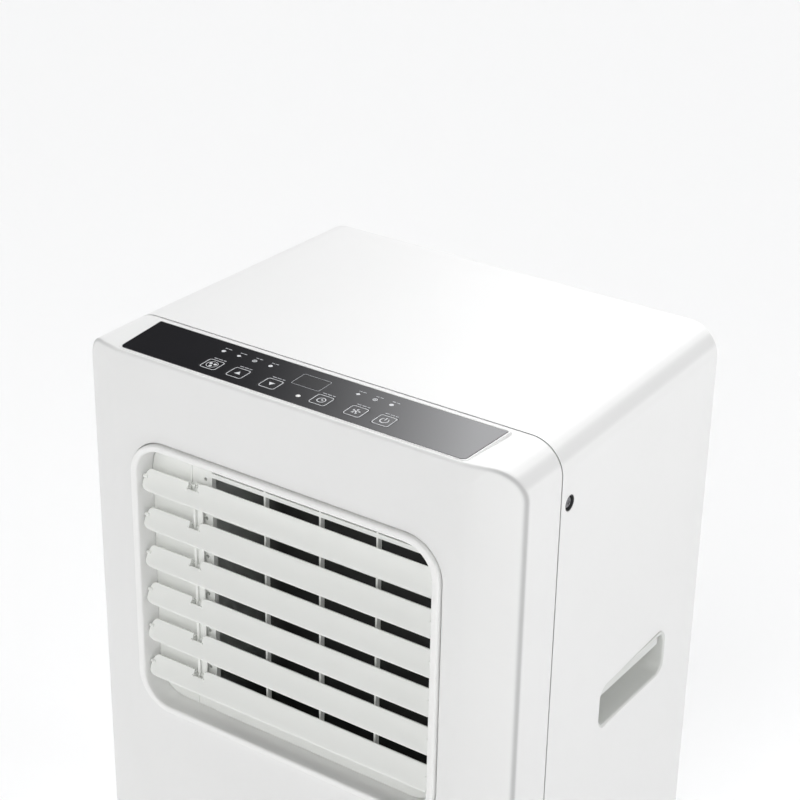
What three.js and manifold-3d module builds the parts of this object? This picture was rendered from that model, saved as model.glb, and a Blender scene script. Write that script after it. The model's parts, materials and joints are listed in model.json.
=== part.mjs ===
// Portable air conditioner: a tall cabinet on four casters, with a moulded front housing, an
// extruded-looking rear shell, a swinging louvre outlet, a top control strip, and the
// refrigeration and air-moving parts inside it.
// Millimetres, +Z up, front towards -Y. The origin is the middle of the footprint, on the floor.
import * as THREE from 'three';
import { mergeVertices } from 'three/addons/utils/BufferGeometryUtils.js';
import Module from 'manifold-3d';

const wasm = await Module();
wasm.setup();

// ------------------------------------------------------------------ driving dimensions
const TOP = 697.5;            // top skin of the cabinet above the floor
const HALF_W = 217;           // half the cabinet width at the seam
const SEAM_Y = -102.8;        // seam plane between the front housing and the rear shell
const FACE = -71.6;           // flat front face, from the seam
const BACK = 273;             // rear edge of the shell, from the seam
const BACK_DRAFT = 6.4;       // each side of the shell is this much narrower at the back
const CORNER_R = 29;          // top corner radius of the cabinet section
const WALL = 3;               // moulded wall thickness
const SKIRT_Z = 28;           // lowest edge of the cabinet mouldings
const SEAM_GAP = 1.2;         // shadow gap at the seam
const RIDGE_Y = -49.5;        // where the side band ends and the wing begins
const CREASE_TOP = 177;       // half width of the flat front face at the top
const CREASE_BOTTOM = 160;    // and at the bottom

const STRIP_BACK = -10.5;     // control strip, back edge, from the seam
const STRIP_FRONT = -66.2;    // control strip, front edge
const STRIP_W_BACK = 173.4;   // half widths of the control strip
const STRIP_W_FRONT = 169.7;
const STRIP_RISE_BACK = 2.5;  // its height over the top skin at the back
const STRIP_RISE_FRONT = 0.5;
const KEY_X = [-85.4, -58.4, -25, 25, 58.4, 85.4];
const KEY_Y = -49.5;
const KEY_SIDE = 16.6;
const KEY_TRAVEL = 0.6;

const LIP_W = 156.5;          // outlet frame, half width over its bead
const LIP_TOP = -74.9;        // top of the bead, from the top skin
const LIP_BOTTOM = -339.3;
const LIP_R = 34;
const LIP_PROUD = 4.6;        // how far the bead stands out of the flat face
const OPEN_W = 149.5;         // clear opening inside the bead
const OPEN_TOP = -81.2;
const OPEN_BOTTOM = -333;
const OPEN_R = 27;
const DUCT_DEPTH = 44;        // depth of the outlet duct behind the flat face

const LOUVRES = 6;
const LOUVRE_PITCH = 37;
const LOUVRE_Z = -113;        // pivot of the first louvre, from the top skin
const LOUVRE_DEPTH = 4.5;     // pivot depth behind the flat face
const LOUVRE_LEAN = 25.5;     // degrees that the top edge leans back at rest
const BLADE_UP = 10.2;        // pivot to the inner (upper) edge
const BLADE_DOWN = 12.9;      // pivot to the outer (lower) edge
const BLADE_T = 2.4;
const BLADE_W = 147.7;        // half length of a blade
const PIN_R = 2;
const CRANK = 7.5;            // link pin, this far behind the pivot
const LINK_X = -96;

const GRILLE_DEPTH = 16;      // front of the fixed grille behind the flat face
const RIB_X = [-84.6, -28.2, 28.2, 84.6];
const WHEEL_R = 19;
const CASTER_X = 168;
const CASTER_Y = [-132, 128];

// ------------------------------------------------------------------ geometry helpers
const SY = (s) => SEAM_Y + s;
const TZ = (t) => TOP + t;

function solidOf(geometry) {
  let g = geometry.clone();
  g.deleteAttribute('normal');
  g.deleteAttribute('uv');
  g = mergeVertices(g, 1e-4);
  const pos = Float32Array.from(g.attributes.position.array);
  const src = g.index.array;
  const tris = [];
  let volume = 0;
  for (let i = 0; i < src.length; i += 3) {
    const [a, b, c] = [src[i], src[i + 1], src[i + 2]];
    if (a === b || b === c || a === c) continue;
    tris.push(a, b, c);
    const [ax, ay, az] = [pos[3 * a], pos[3 * a + 1], pos[3 * a + 2]];
    const [bx, by, bz] = [pos[3 * b], pos[3 * b + 1], pos[3 * b + 2]];
    const [cx, cy, cz] = [pos[3 * c], pos[3 * c + 1], pos[3 * c + 2]];
    volume += ax * (by * cz - bz * cy) + ay * (bz * cx - bx * cz) + az * (bx * cy - by * cx);
  }
  if (volume < 0) for (let i = 0; i < tris.length; i += 3) [tris[i + 1], tris[i + 2]] = [tris[i + 2], tris[i + 1]];
  return new wasm.Manifold(new wasm.Mesh({ numProp: 3, vertProperties: pos, triVerts: Uint32Array.from(tris) }));
}

function geometryOf(solid) {
  const m = solid.getMesh();
  const g = new THREE.BufferGeometry();
  const n = m.vertProperties.length / m.numProp;
  const pos = new Float32Array(n * 3);
  for (let i = 0; i < n; i += 1) for (let k = 0; k < 3; k += 1) pos[3 * i + k] = m.vertProperties[i * m.numProp + k];
  g.setAttribute('position', new THREE.BufferAttribute(pos, 3));
  g.setIndex(new THREE.BufferAttribute(Uint32Array.from(m.triVerts), 1));
  g.computeVertexNormals();
  return g;
}

const join = (list) => list.reduce((a, b) => a.add(b));
const cutAll = (solid, list) => list.reduce((a, b) => a.subtract(b), solid);

function box(x0, x1, y0, y1, z0, z1) {
  const g = new THREE.BoxGeometry(x1 - x0, y1 - y0, z1 - z0);
  g.translate((x0 + x1) / 2, (y0 + y1) / 2, (z0 + z1) / 2);
  return solidOf(g);
}

function shapeOf(points) {
  return new THREE.Shape(points.map(([a, b]) => new THREE.Vector2(a, b)));
}

// outline in (x, y), extruded from z0 to z1
function prismZ(points, z0, z1) {
  const g = new THREE.ExtrudeGeometry(shapeOf(points), { depth: z1 - z0, bevelEnabled: false, steps: 1 });
  g.translate(0, 0, z0);
  return solidOf(g);
}

// outline in (x, z), extruded from y0 to y1
function prismYGeometry(points, y0, y1) {
  const g = new THREE.ExtrudeGeometry(shapeOf(points), { depth: y1 - y0, bevelEnabled: false, steps: 1 });
  g.rotateX(Math.PI / 2);
  g.translate(0, y1, 0);
  return g;
}
const prismY = (points, y0, y1) => solidOf(prismYGeometry(points, y0, y1));

// outline in (y, z), extruded from x0 to x1
function prismX(points, x0, x1) {
  const g = new THREE.ExtrudeGeometry(shapeOf(points), { depth: x1 - x0, bevelEnabled: false, steps: 1 });
  g.applyMatrix4(new THREE.Matrix4().makeBasis(
    new THREE.Vector3(0, 1, 0), new THREE.Vector3(0, 0, 1), new THREE.Vector3(1, 0, 0)));
  g.translate(x0, 0, 0);
  return solidOf(g);
}

function arc(cx, cy, r, a0, a1, n) {
  const out = [];
  for (let i = 0; i <= n; i += 1) {
    const a = THREE.MathUtils.degToRad(a0 + ((a1 - a0) * i) / n);
    out.push([cx + r * Math.cos(a), cy + r * Math.sin(a)]);
  }
  return out;
}

function rounded(x0, x1, y0, y1, r, n = 5) {
  return [
    ...arc(x1 - r, y0 + r, r, -90, 0, n), ...arc(x1 - r, y1 - r, r, 0, 90, n),
    ...arc(x0 + r, y1 - r, r, 90, 180, n), ...arc(x0 + r, y0 + r, r, 180, 270, n),
  ];
}

// cabinet section: square bottom, round top corners
function section(half, z0, z1, r, n = 8) {
  return [[-half, z0], [half, z0], ...arc(half - r, z1 - r, r, 0, 90, n), ...arc(-half + r, z1 - r, r, 90, 180, n)];
}

function cylinder(axis, r, from, to, a, b, n = 16, r2 = r) {
  const g = new THREE.CylinderGeometry(r2, r, to - from, n, 1);
  g.translate(0, (from + to) / 2, 0);
  if (axis === 'x') { g.rotateZ(-Math.PI / 2); g.translate(0, a, b); }
  if (axis === 'y') g.translate(a, 0, b);
  if (axis === 'z') { g.rotateX(Math.PI / 2); g.translate(a, b, 0); }
  return solidOf(g);
}

// profile in (radius, height); height runs along the axis
function lathe(axis, profile, a, b, n = 24) {
  const g = new THREE.LatheGeometry(profile.map(([r, h]) => new THREE.Vector2(r, h)), n);
  if (axis === 'x') { g.rotateZ(-Math.PI / 2); g.translate(0, a, b); }
  if (axis === 'y') g.translate(a, 0, b);
  if (axis === 'z') { g.rotateX(Math.PI / 2); g.translate(a, b, 0); }
  return solidOf(g);
}

function tube(points, r, steps, sides = 8) {
  const path = new THREE.CatmullRomCurve3(points.map((p) => new THREE.Vector3(...p)), false, 'centripetal');
  const round = [];
  for (let i = 0; i < sides; i += 1) {
    const a = (i / sides) * Math.PI * 2;
    round.push([r * Math.cos(a), r * Math.sin(a)]);
  }
  return solidOf(new THREE.ExtrudeGeometry(shapeOf(round), { steps, extrudePath: path, bevelEnabled: false }));
}

const cabinet = new THREE.Group();
cabinet.name = 'portable_air_conditioner';

function part(name, solid, colour, roughness, metalness = 0) {
  const material = new THREE.MeshStandardMaterial({ color: colour, roughness, metalness });
  const mesh = new THREE.Mesh(geometryOf(solid), material);
  mesh.name = name;
  cabinet.add(mesh);
  return mesh;
}

const WHITE = 0xf1f1ee;
const GREY = 0xcfd2cd;
const BLACK = 0x17171a;
const STEEL = 0xb9bcc0;
const COPPER = 0xb4683c;
const DARK = 0x3a3c40;

// ------------------------------------------------------------------ front housing
// the cabinet section meets a plan outline with two swept wings and a flat centre
function planPrism(inset, z0, z1) {
  const face = FACE + inset;
  const g = new THREE.ExtrudeGeometry(shapeOf([
    [-HALF_W - 5, SY(inset ? 40 : -SEAM_GAP / 2)], [-HALF_W - 5, SY(RIDGE_Y + 5 * 0.56) + inset],
    [-CREASE_TOP + inset * 0.3, SY(face)], [CREASE_TOP - inset * 0.3, SY(face)],
    [HALF_W + 5, SY(RIDGE_Y + 5 * 0.56) + inset], [HALF_W + 5, SY(inset ? 40 : -SEAM_GAP / 2)],
  ]), { depth: z1 - z0, bevelEnabled: false, steps: 1 });
  g.translate(0, 0, z0);
  const p = g.attributes.position;
  for (let i = 0; i < p.count; i += 1) {
    if (p.getY(i) < SY(face) + 0.5) {
      const t = (TOP - p.getZ(i)) / (TOP - SKIRT_Z);
      const half = CREASE_TOP + (CREASE_BOTTOM - CREASE_TOP) * t - inset * 0.3;
      p.setX(i, Math.sign(p.getX(i)) * half);
    }
  }
  return solidOf(g);
}
const frontOuter = prismY(section(HALF_W, SKIRT_Z, TOP, CORNER_R, 6), SY(-90), SY(-SEAM_GAP / 2)).intersect(planPrism(0, SKIRT_Z - 5, TOP + 5));
const frontInner = prismY(section(HALF_W - WALL, SKIRT_Z - 20, TOP - WALL, CORNER_R - WALL, 6), SY(-90), SY(30)).intersect(planPrism(WALL, SKIRT_Z - 20, TOP - WALL));
const stripBed = prismZ([[-STRIP_W_BACK - 1.2, SY(STRIP_BACK + 1.2)], [-STRIP_W_FRONT - 1.2, SY(STRIP_FRONT - 1.2)],
  [STRIP_W_FRONT + 1.2, SY(STRIP_FRONT - 1.2)], [STRIP_W_BACK + 1.2, SY(STRIP_BACK + 1.2)]], TZ(-1.2), TZ(9));
const stripWell = prismZ([[-150, SY(-16)], [-150, SY(-61)], [150, SY(-61)], [150, SY(-16)]], TZ(-20), TZ(5));
// low rim around the control strip, rising with it towards the back
const rimOutline = [[-STRIP_W_BACK - 2.6, SY(STRIP_BACK + 2.6)], [-STRIP_W_FRONT - 2.2, SY(STRIP_FRONT - 1.4)],
  [STRIP_W_FRONT + 2.2, SY(STRIP_FRONT - 1.4)], [STRIP_W_BACK + 2.6, SY(STRIP_BACK + 2.6)]];
const rimWedge = prismX([[SY(STRIP_FRONT - 3), TZ(-1)], [SY(STRIP_BACK + 4), TZ(-1)], [SY(STRIP_BACK + 4), TZ(STRIP_RISE_BACK)],
  [SY(STRIP_FRONT - 3), TZ(STRIP_RISE_FRONT)]], -190, 190);
const rim = prismZ(rimOutline, TZ(-1), TZ(6)).intersect(rimWedge);
const lipHole = prismY(rounded(-LIP_W - 0.3, LIP_W + 0.3, TZ(LIP_BOTTOM - 0.3), TZ(LIP_TOP + 0.3), LIP_R, 5), SY(-90), SY(-55));
let front = frontOuter.subtract(frontInner).add(rim);
// ledge that the outlet frame screws against, and bosses for the two side screws
front = cutAll(front, [stripBed, stripWell, lipHole]);
part('front_housing', front, WHITE, 0.32);

// ------------------------------------------------------------------ rear shell
function draft(geometry) {
  const p = geometry.attributes.position;
  for (let i = 0; i < p.count; i += 1) {
    const t = (p.getY(i) - SEAM_Y) / BACK;
    p.setX(i, p.getX(i) * (1 - (BACK_DRAFT * Math.max(t, 0)) / HALF_W));
  }
  return geometry;
}
const HANDLE_Z = 405;         // side handle, centre height
const HANDLE_Y = SY(150);
const HANDLE_L = 118;         // opening length and height in the shell
const HANDLE_H = 44;
const SCREW_Y = SY(14.2);
const SCREW_Z = TZ(-56.3);
const shellOuter = solidOf(draft(prismYGeometry(section(HALF_W, SKIRT_Z, TOP, CORNER_R, 6), SY(SEAM_GAP / 2), SY(BACK))));
const shellInner = solidOf(draft(prismYGeometry(section(HALF_W - WALL, SKIRT_Z - 20, TOP - WALL, CORNER_R - WALL, 6), SY(-5), SY(BACK + 5))));
let shell = shellOuter.subtract(shellInner);
for (const side of [-1, 1]) {
  const hole = [];
  for (const [a, b] of rounded(HANDLE_Y - HANDLE_L / 2, HANDLE_Y + HANDLE_L / 2, HANDLE_Z - HANDLE_H / 2, HANDLE_Z + HANDLE_H / 2, 12, 4)) hole.push([a, b]);
  shell = shell.subtract(prismX(hole, side > 0 ? 190 : -235, side > 0 ? 235 : -190));
  // recessed screw cup: a boss behind the skin, bored from outside
  const a = side * 205;
  const b = side * 216.9;
  shell = shell.add(cylinder('x', 9.5, Math.min(a, side * 215.5), Math.max(a, side * 215.5), SCREW_Y, SCREW_Z, 12));
  shell = shell.subtract(cylinder('x', 7, Math.min(side * 208, side * 225), Math.max(side * 208, side * 225), SCREW_Y, SCREW_Z, 16));
  shell = shell.subtract(cylinder('x', 2.6, Math.min(side * 200, b), Math.max(side * 200, b), SCREW_Y, SCREW_Z, 8));
}
part('rear_shell', shell, WHITE, 0.32);

for (const [side, name] of [[1, 'side_screw_right'], [-1, 'side_screw_left']]) {
  const head = cylinder('x', 5.6, side > 0 ? 208.3 : -211.3, side > 0 ? 211.3 : -208.3, SCREW_Y, SCREW_Z, 12);
  const shank = cylinder('x', 2.1, side > 0 ? 192 : -208.6, side > 0 ? 208.6 : -192, SCREW_Y, SCREW_Z, 8);
  const slotA = box(side > 0 ? 209.8 : -212, side > 0 ? 212 : -209.8, SCREW_Y - 3.4, SCREW_Y + 3.4, SCREW_Z - 0.6, SCREW_Z + 0.6);
  const slotB = box(side > 0 ? 209.8 : -212, side > 0 ? 212 : -209.8, SCREW_Y - 0.6, SCREW_Y + 0.6, SCREW_Z - 3.4, SCREW_Z + 3.4);
  part(name, head.add(shank).subtract(slotA.add(slotB)), 0x54565a, 0.4, 0.85);
}

// ------------------------------------------------------------------ side handles
function handleCup(side) {
  const at = (x0, x1) => (side > 0 ? [x0, x1] : [-x1, -x0]);
  const o = (inset) => rounded(HANDLE_Y - HANDLE_L / 2 + inset, HANDLE_Y + HANDLE_L / 2 - inset,
    HANDLE_Z - HANDLE_H / 2 + inset, HANDLE_Z + HANDLE_H / 2 - inset, 12 - inset * 0.6, 4);
  const skin = HALF_W - (BACK_DRAFT * (150 / BACK)) - 0.6;
  const cup = prismX(o(0.4), ...at(skin - 30, skin - 1.4));
  const hollow = prismX(o(3), ...at(skin - 27.4, skin + 10));
  const grip = prismX(o(3).map(([a, b]) => [a, b]), ...at(skin - 27.4, skin - 12));
  // the grip lip hangs down from the upper edge and leaves finger room behind it
  const lip = box(...at(skin - 6, skin - 1.4), HANDLE_Y - HANDLE_L / 2 + 8, HANDLE_Y + HANDLE_L / 2 - 8, HANDLE_Z + HANDLE_H / 2 - 13, HANDLE_Z + HANDLE_H / 2 - 1);
  void grip;
  return cup.subtract(hollow).add(lip);
}
part('side_handle_right', handleCup(1), GREY, 0.5);
part('side_handle_left', handleCup(-1), GREY, 0.5);

// ------------------------------------------------------------------ outlet frame, grille, louvres
const ringOuter = prismY(rounded(-LIP_W, LIP_W, TZ(LIP_BOTTOM), TZ(LIP_TOP), LIP_R, 5), SY(FACE - 0.2), SY(FACE + 2.4));
const ringCrown = prismY(rounded(-LIP_W + 3.4, LIP_W - 3.4, TZ(LIP_BOTTOM + 3.4), TZ(LIP_TOP - 3.4), LIP_R - 3.4, 5), SY(FACE - LIP_PROUD), SY(FACE));
const ringMid = prismY(rounded(-LIP_W + 1.4, LIP_W - 1.4, TZ(LIP_BOTTOM + 1.4), TZ(LIP_TOP - 1.4), LIP_R - 1.4, 5), SY(FACE - LIP_PROUD + 2), SY(FACE));
const ductOuter = prismY(rounded(-OPEN_W - 2.5, OPEN_W + 2.5, TZ(OPEN_BOTTOM - 2.5), TZ(OPEN_TOP + 2.5), OPEN_R + 2.5, 5), SY(FACE + 2), SY(FACE + DUCT_DEPTH));
const ductInner = prismY(rounded(-OPEN_W, OPEN_W, TZ(OPEN_BOTTOM), TZ(OPEN_TOP), OPEN_R, 5), SY(FACE - 20), SY(FACE + DUCT_DEPTH + 10));
let frame = join([ringOuter, ringMid, ringCrown, ductOuter]).subtract(ductInner);
const pivotY = SY(FACE + LOUVRE_DEPTH);
const pivotZ = (i) => TZ(LOUVRE_Z - i * LOUVRE_PITCH);
for (let i = 0; i < LOUVRES; i += 1) {
  frame = frame.subtract(cylinder('x', PIN_R + 0.35, -160, 160, pivotY, pivotZ(i), 8));
}
part('outlet_frame', frame, WHITE, 0.35);

// fixed grille: a rim, four ribs, six bars, and a plate over the link gear at the left end
const gy0 = SY(FACE + GRILLE_DEPTH);
const gy1 = gy0 + 5;
const grilleOutline = prismY(rounded(-OPEN_W + 0.3, OPEN_W - 0.3, TZ(OPEN_BOTTOM + 0.3), TZ(OPEN_TOP - 0.3), OPEN_R, 5), gy0, gy1);
// plate over the link gear at the left, then open cells between ribs and bars
const cellLeft = [-84.6, ...RIB_X.slice(1), OPEN_W - 1.6];
let grille = grilleOutline;
for (let i = 0; i < LOUVRES + 1; i += 1) {
  const zTop = i ? TZ(-98 - (i - 1) * LOUVRE_PITCH) - 2 : TZ(OPEN_TOP) - 3;
  const zLow = Math.max(TZ(-98 - i * LOUVRE_PITCH) + 2, TZ(OPEN_BOTTOM) + 4);
  if (zTop - zLow < 5) continue;
  for (let k = 0; k < cellLeft.length - 1; k += 1) {
    const corner = k === cellLeft.length - 2 && i === 0;
    grille = grille.subtract(box(cellLeft[k] + 0.9, cellLeft[k + 1] - 0.9 - (corner ? 9 : 0), gy0 - 2, gy1 + 2, zLow, zTop));
  }
}
grille = grille.subtract(box(-OPEN_W - 2, -107, gy0 - 2, gy0 + 0.8, TZ(OPEN_BOTTOM) - 5, TZ(OPEN_TOP) + 5));
grille = grille.subtract(box(-105.2, -86, gy0 - 2, gy0 + 0.8, TZ(OPEN_BOTTOM) - 5, TZ(OPEN_TOP) + 5));
for (let i = 0; i < LOUVRES; i += 1) {
  grille = grille.subtract(cylinder('y', 1.8, gy0 - 2, gy1 + 6, -91, TZ(-104 - i * LOUVRE_PITCH), 6));
}
part('outlet_grille', grille, 0xe6e8e4, 0.4);

// one blade, drawn upright about its pivot, then leaned back
function louvre(i) {
  const up = BLADE_UP;
  const down = BLADE_DOWN;
  // outline in (x, height): the left end is lower and rounded, and a notch clears the link
  const outline = [
    [-BLADE_W + 7.5, -down], [BLADE_W, -down], [BLADE_W, up],
    [LINK_X + 7, up], [LINK_X + 7, 2.2], [LINK_X - 7, 2.2], [LINK_X - 7, up - 2.4],
    [-BLADE_W + 6.2, up - 2.8], [-BLADE_W + 3, up - 4.8], [-BLADE_W, -3], [-BLADE_W, -down + 5.4], [-BLADE_W + 2.6, -down + 1.8],
  ];
  let s = prismY(outline, -BLADE_T / 2, BLADE_T / 2);
  s = s.add(cylinder('x', PIN_R, -154.5, 154.5, 0, 0, 8));
  const lean = THREE.MathUtils.degToRad(-LOUVRE_LEAN);
  const turn = new THREE.Matrix4().makeRotationX(lean);
  s = s.transform(turn.elements.slice());
  // two ears behind the notch and the link pin between them
  const arm = (x0, x1) => prismX([[0, -2.6], [CRANK + 1.6, -2.2], [CRANK + 2.4, 0], [CRANK + 1.6, 2.2], [0, 2.6]], x0, x1);
  s = s.add(arm(LINK_X - 6.8, LINK_X - 5)).add(arm(LINK_X + 5, LINK_X + 6.8));
  const pin = new THREE.CylinderGeometry(1.2, 1.2, 12, 8, 1);
  pin.rotateZ(-Math.PI / 2);
  pin.translate(LINK_X, CRANK, 0);
  s = s.add(solidOf(pin));
  return s.translate([0, pivotY, pivotZ(i)]);
}
for (let i = 0; i < LOUVRES; i += 1) part(`louvre_${i + 1}`, louvre(i), 0xe4e6e2, 0.4);

// link bar that ties the blades' crank pins together
const linkY = pivotY + CRANK;
let link = box(LINK_X - 4.2, LINK_X + 4.2, linkY - 2.2, linkY + 2.2, pivotZ(LOUVRES - 1) - 4.5, pivotZ(0) + 4.5);
for (let i = 0; i < LOUVRES; i += 1) link = link.subtract(cylinder('x', 1.6, LINK_X - 6, LINK_X + 6, linkY, pivotZ(i), 8));
part('louvre_link', link, 0xdfe1dd, 0.45);

// geared swing motor outside the duct wall, on the axis of the second louvre
const swing = cylinder('x', 11, -173, -155.4, pivotY + 12, pivotZ(1), 14)
  .add(box(-157.6, -155.4, pivotY - 1, pivotY + 16, pivotZ(1) - 20, pivotZ(1) + 20))
  .subtract(cylinder('x', 2.7, -160, -150, pivotY, pivotZ(1), 8));
part('swing_motor', swing, STEEL, 0.4, 0.7);

// ------------------------------------------------------------------ control strip
const slope = (STRIP_RISE_BACK - STRIP_RISE_FRONT) / (STRIP_BACK - STRIP_FRONT);
const stripZ = (s) => TZ(STRIP_RISE_FRONT + (s - STRIP_FRONT) * slope);
const stripWedge = prismX([[SY(STRIP_FRONT - 3), TZ(-0.9)], [SY(STRIP_BACK + 4), TZ(-0.9)], [SY(STRIP_BACK + 4), stripZ(STRIP_BACK + 4)],
  [SY(STRIP_FRONT - 3), stripZ(STRIP_FRONT - 3)]], -190, 190);
let strip = prismZ([[-STRIP_W_BACK, SY(STRIP_BACK)], [-STRIP_W_FRONT, SY(STRIP_FRONT)], [STRIP_W_FRONT, SY(STRIP_FRONT)],
  [STRIP_W_BACK, SY(STRIP_BACK)]], TZ(-3), TZ(6)).intersect(stripWedge);
const WINDOW = { x: 0.6, y: -29.8, w: 26, d: 17 };
const IR = { x: 5.5, y: -54, r: 2 };
for (const x of KEY_X) {
  strip = strip.subtract(prismZ(rounded(x - KEY_SIDE / 2 - 0.35, x + KEY_SIDE / 2 + 0.35, SY(KEY_Y) - KEY_SIDE / 2 - 0.35, SY(KEY_Y) + KEY_SIDE / 2 + 0.35, 2.2, 2), TZ(-5), TZ(9)));
}
strip = strip.subtract(prismZ(rounded(WINDOW.x - WINDOW.w / 2 - 0.3, WINDOW.x + WINDOW.w / 2 + 0.3, SY(WINDOW.y) - WINDOW.d / 2 - 0.3, SY(WINDOW.y) + WINDOW.d / 2 + 0.3, 1.2, 2), TZ(-5), TZ(9)));
strip = strip.subtract(cylinder('z', IR.r + 0.3, TZ(-5), TZ(9), IR.x, SY(IR.y), 8));
for (const x of [-110, 110]) strip = strip.add(cylinder('z', 3.4, TZ(-10.4), TZ(-0.5), x, SY(-24), 8));
part('control_strip', strip, BLACK, 0.12);

const KEY_NAMES = ['key_mode', 'key_up', 'key_down', 'key_timer', 'key_fan', 'key_power'];
KEY_X.forEach((x, i) => {
  const cap = prismZ(rounded(x - KEY_SIDE / 2, x + KEY_SIDE / 2, SY(KEY_Y) - KEY_SIDE / 2, SY(KEY_Y) + KEY_SIDE / 2, 1.9, 2), TZ(-4.6), TZ(6)).intersect(
    prismX([[SY(KEY_Y) - 20, TZ(-4.6)], [SY(KEY_Y) + 20, TZ(-4.6)], [SY(KEY_Y) + 20, stripZ(KEY_Y + 20)], [SY(KEY_Y) - 20, stripZ(KEY_Y - 20)]], x - 20, x + 20));
  const stem = cylinder('z', 2.4, TZ(-8.6), TZ(-4), x, SY(KEY_Y), 6);
  part(KEY_NAMES[i], cap.add(stem), BLACK, 0.14);
});
part('display_window', prismZ(rounded(WINDOW.x - WINDOW.w / 2, WINDOW.x + WINDOW.w / 2, SY(WINDOW.y) - WINDOW.d / 2, SY(WINDOW.y) + WINDOW.d / 2, 1, 2), TZ(-6), TZ(6)).intersect(
  prismX([[SY(WINDOW.y) - 12, TZ(-6)], [SY(WINDOW.y) + 12, TZ(-6)], [SY(WINDOW.y) + 12, stripZ(WINDOW.y + 12)], [SY(WINDOW.y) - 12, stripZ(WINDOW.y - 12)]], -20, 20)), 0x0b0b0d, 0.08);
part('ir_lens', cylinder('z', IR.r, TZ(-6), stripZ(IR.y), IR.x, SY(IR.y), 8), 0x2a1518, 0.1);
// circuit board under the strip, with one tact switch below each key
let board = box(-120, 120, SY(-60), SY(-18), TZ(-12.4), TZ(-10.8));
for (const x of KEY_X) board = board.add(box(x - 3, x + 3, SY(KEY_Y) - 3, SY(KEY_Y) + 3, TZ(-11), TZ(-9.5)));
for (const x of [-110, 110]) board = board.subtract(cylinder('z', 2, TZ(-14), TZ(-9), x, SY(-24), 6));
board = board.add(box(WINDOW.x - 12, WINDOW.x + 12, SY(WINDOW.y) - 7, SY(WINDOW.y) + 7, TZ(-11), TZ(-6.6)));
board = board.add(box(-40, -12, SY(-56), SY(-48), TZ(-15.5), TZ(-12)));
part('control_board', board, 0x2d6b45, 0.55);

// ------------------------------------------------------------------ base pan and casters
const PAN_Z = 48;
const panOutline = (i) => [[-207 + i, SY(-40) + i * 0.4], [-150 + i * 0.3, SY(-66) + i], [150 - i * 0.3, SY(-66) + i], [207 - i, SY(-40) + i * 0.4],
  [207 - i, SY(252)], [197, SY(262) - i], [-197, SY(262) - i], [-207 + i, SY(252)]];
let pan = prismZ(panOutline(0), PAN_Z, PAN_Z + 34).subtract(prismZ(panOutline(3), PAN_Z + 4, PAN_Z + 40));
for (const y of CASTER_Y) {
  for (const x of [-CASTER_X, CASTER_X]) {
    pan = pan.add(cylinder('z', 13, PAN_Z + 2, PAN_Z + 16, x, y, 12));
    pan = pan.subtract(cylinder('z', 5.4, PAN_Z - 4, PAN_Z + 13, x, y, 10));
  }
}
pan = pan.add(cylinder('y', 9, SY(240), SY(262), 40, PAN_Z + 14, 10)).subtract(cylinder('y', 5.6, SY(230), SY(270), 40, PAN_Z + 14, 10));
part('base_pan', pan, DARK, 0.6);

const casterNames = ['front_left', 'front_right', 'rear_left', 'rear_right'];
let c = 0;
for (const y of CASTER_Y) {
  for (const x of [-CASTER_X, CASTER_X]) {
    const trail = 10;
    let fork = cylinder('z', 5, 41, PAN_Z + 10, x, y, 10);
    fork = fork.add(cylinder('z', 12, 41.3, 45.5, x, y, 12));
    fork = fork.add(box(x - 10.4, x + 10.4, y - 8, y + trail + 5, 40.2, 43));
    for (const s of [-1, 1]) {
      const x0 = s > 0 ? x + 8 : x - 10.4;
      fork = fork.add(prismX([[y - 8, 42.5], [y + trail - 6, 15], [y + trail - 3, 12.6], [y + trail + 3, 12.6], [y + trail + 6, 15], [y + trail + 5, 42.5]], x0, x0 + 2.4));
    }
    fork = fork.add(cylinder('x', 2.5, x - 9, x + 9, y + trail, WHEEL_R, 8));
    part(`caster_fork_${casterNames[c]}`, fork, DARK, 0.55);
    const wheel = lathe('x', [[2.9, x - 7.4], [7, x - 7.4], [8, x - 5.4], [16, x - 5.4], [17.4, x - 7], [WHEEL_R, x - 5.4], [WHEEL_R, x + 5.4],
      [17.4, x + 7], [16, x + 5.4], [8, x + 5.4], [7, x + 7.4], [2.9, x + 7.4], [2.9, x - 7.4]], y + trail, WHEEL_R, 18);
    part(`caster_wheel_${casterNames[c]}`, wheel, 0x2a2b2e, 0.5);
    c += 1;
  }
}

// ------------------------------------------------------------------ back panel and what mounts on it
const PANEL_Y0 = SY(262.6);
const PANEL_Y1 = SY(265.6);
const FILTER_U = { x: 150, z0: 448, z1: 640 };
const FILTER_L = { x0: -176, x1: 14, z0: 104, z1: 216 };
const DUCT = { x: 92, z: 262, r: 66 };
const GLAND = { x: 130, z: 128 };
let back = prismY(section(206.6, 34, TOP - 4.2, CORNER_R - 4.5, 6), PANEL_Y0, PANEL_Y1);
back = back.subtract(prismY(rounded(-FILTER_U.x - 1, FILTER_U.x + 1, FILTER_U.z0 - 1, FILTER_U.z1 + 1, 6, 3), SY(250), SY(280)));
back = back.subtract(prismY(rounded(FILTER_L.x0 - 1, FILTER_L.x1 + 1, FILTER_L.z0 - 1, FILTER_L.z1 + 1, 6, 3), SY(250), SY(280)));
back = back.subtract(cylinder('y', DUCT.r + 6, SY(250), SY(280), DUCT.x, DUCT.z, 24));
back = back.subtract(cylinder('y', 9, SY(250), SY(280), GLAND.x, GLAND.z, 12));
back = back.subtract(cylinder('y', 10, SY(250), SY(280), 40, PAN_Z + 14, 12));
// drain spout of the upper tray, moulded on the panel's inner side
back = back.add(cylinder('y', 9, SY(244), SY(264), -60, 372, 12)).subtract(cylinder('y', 5.6, SY(240), SY(280), -60, 372, 10));
part('back_panel', back, GREY, 0.5);

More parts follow.
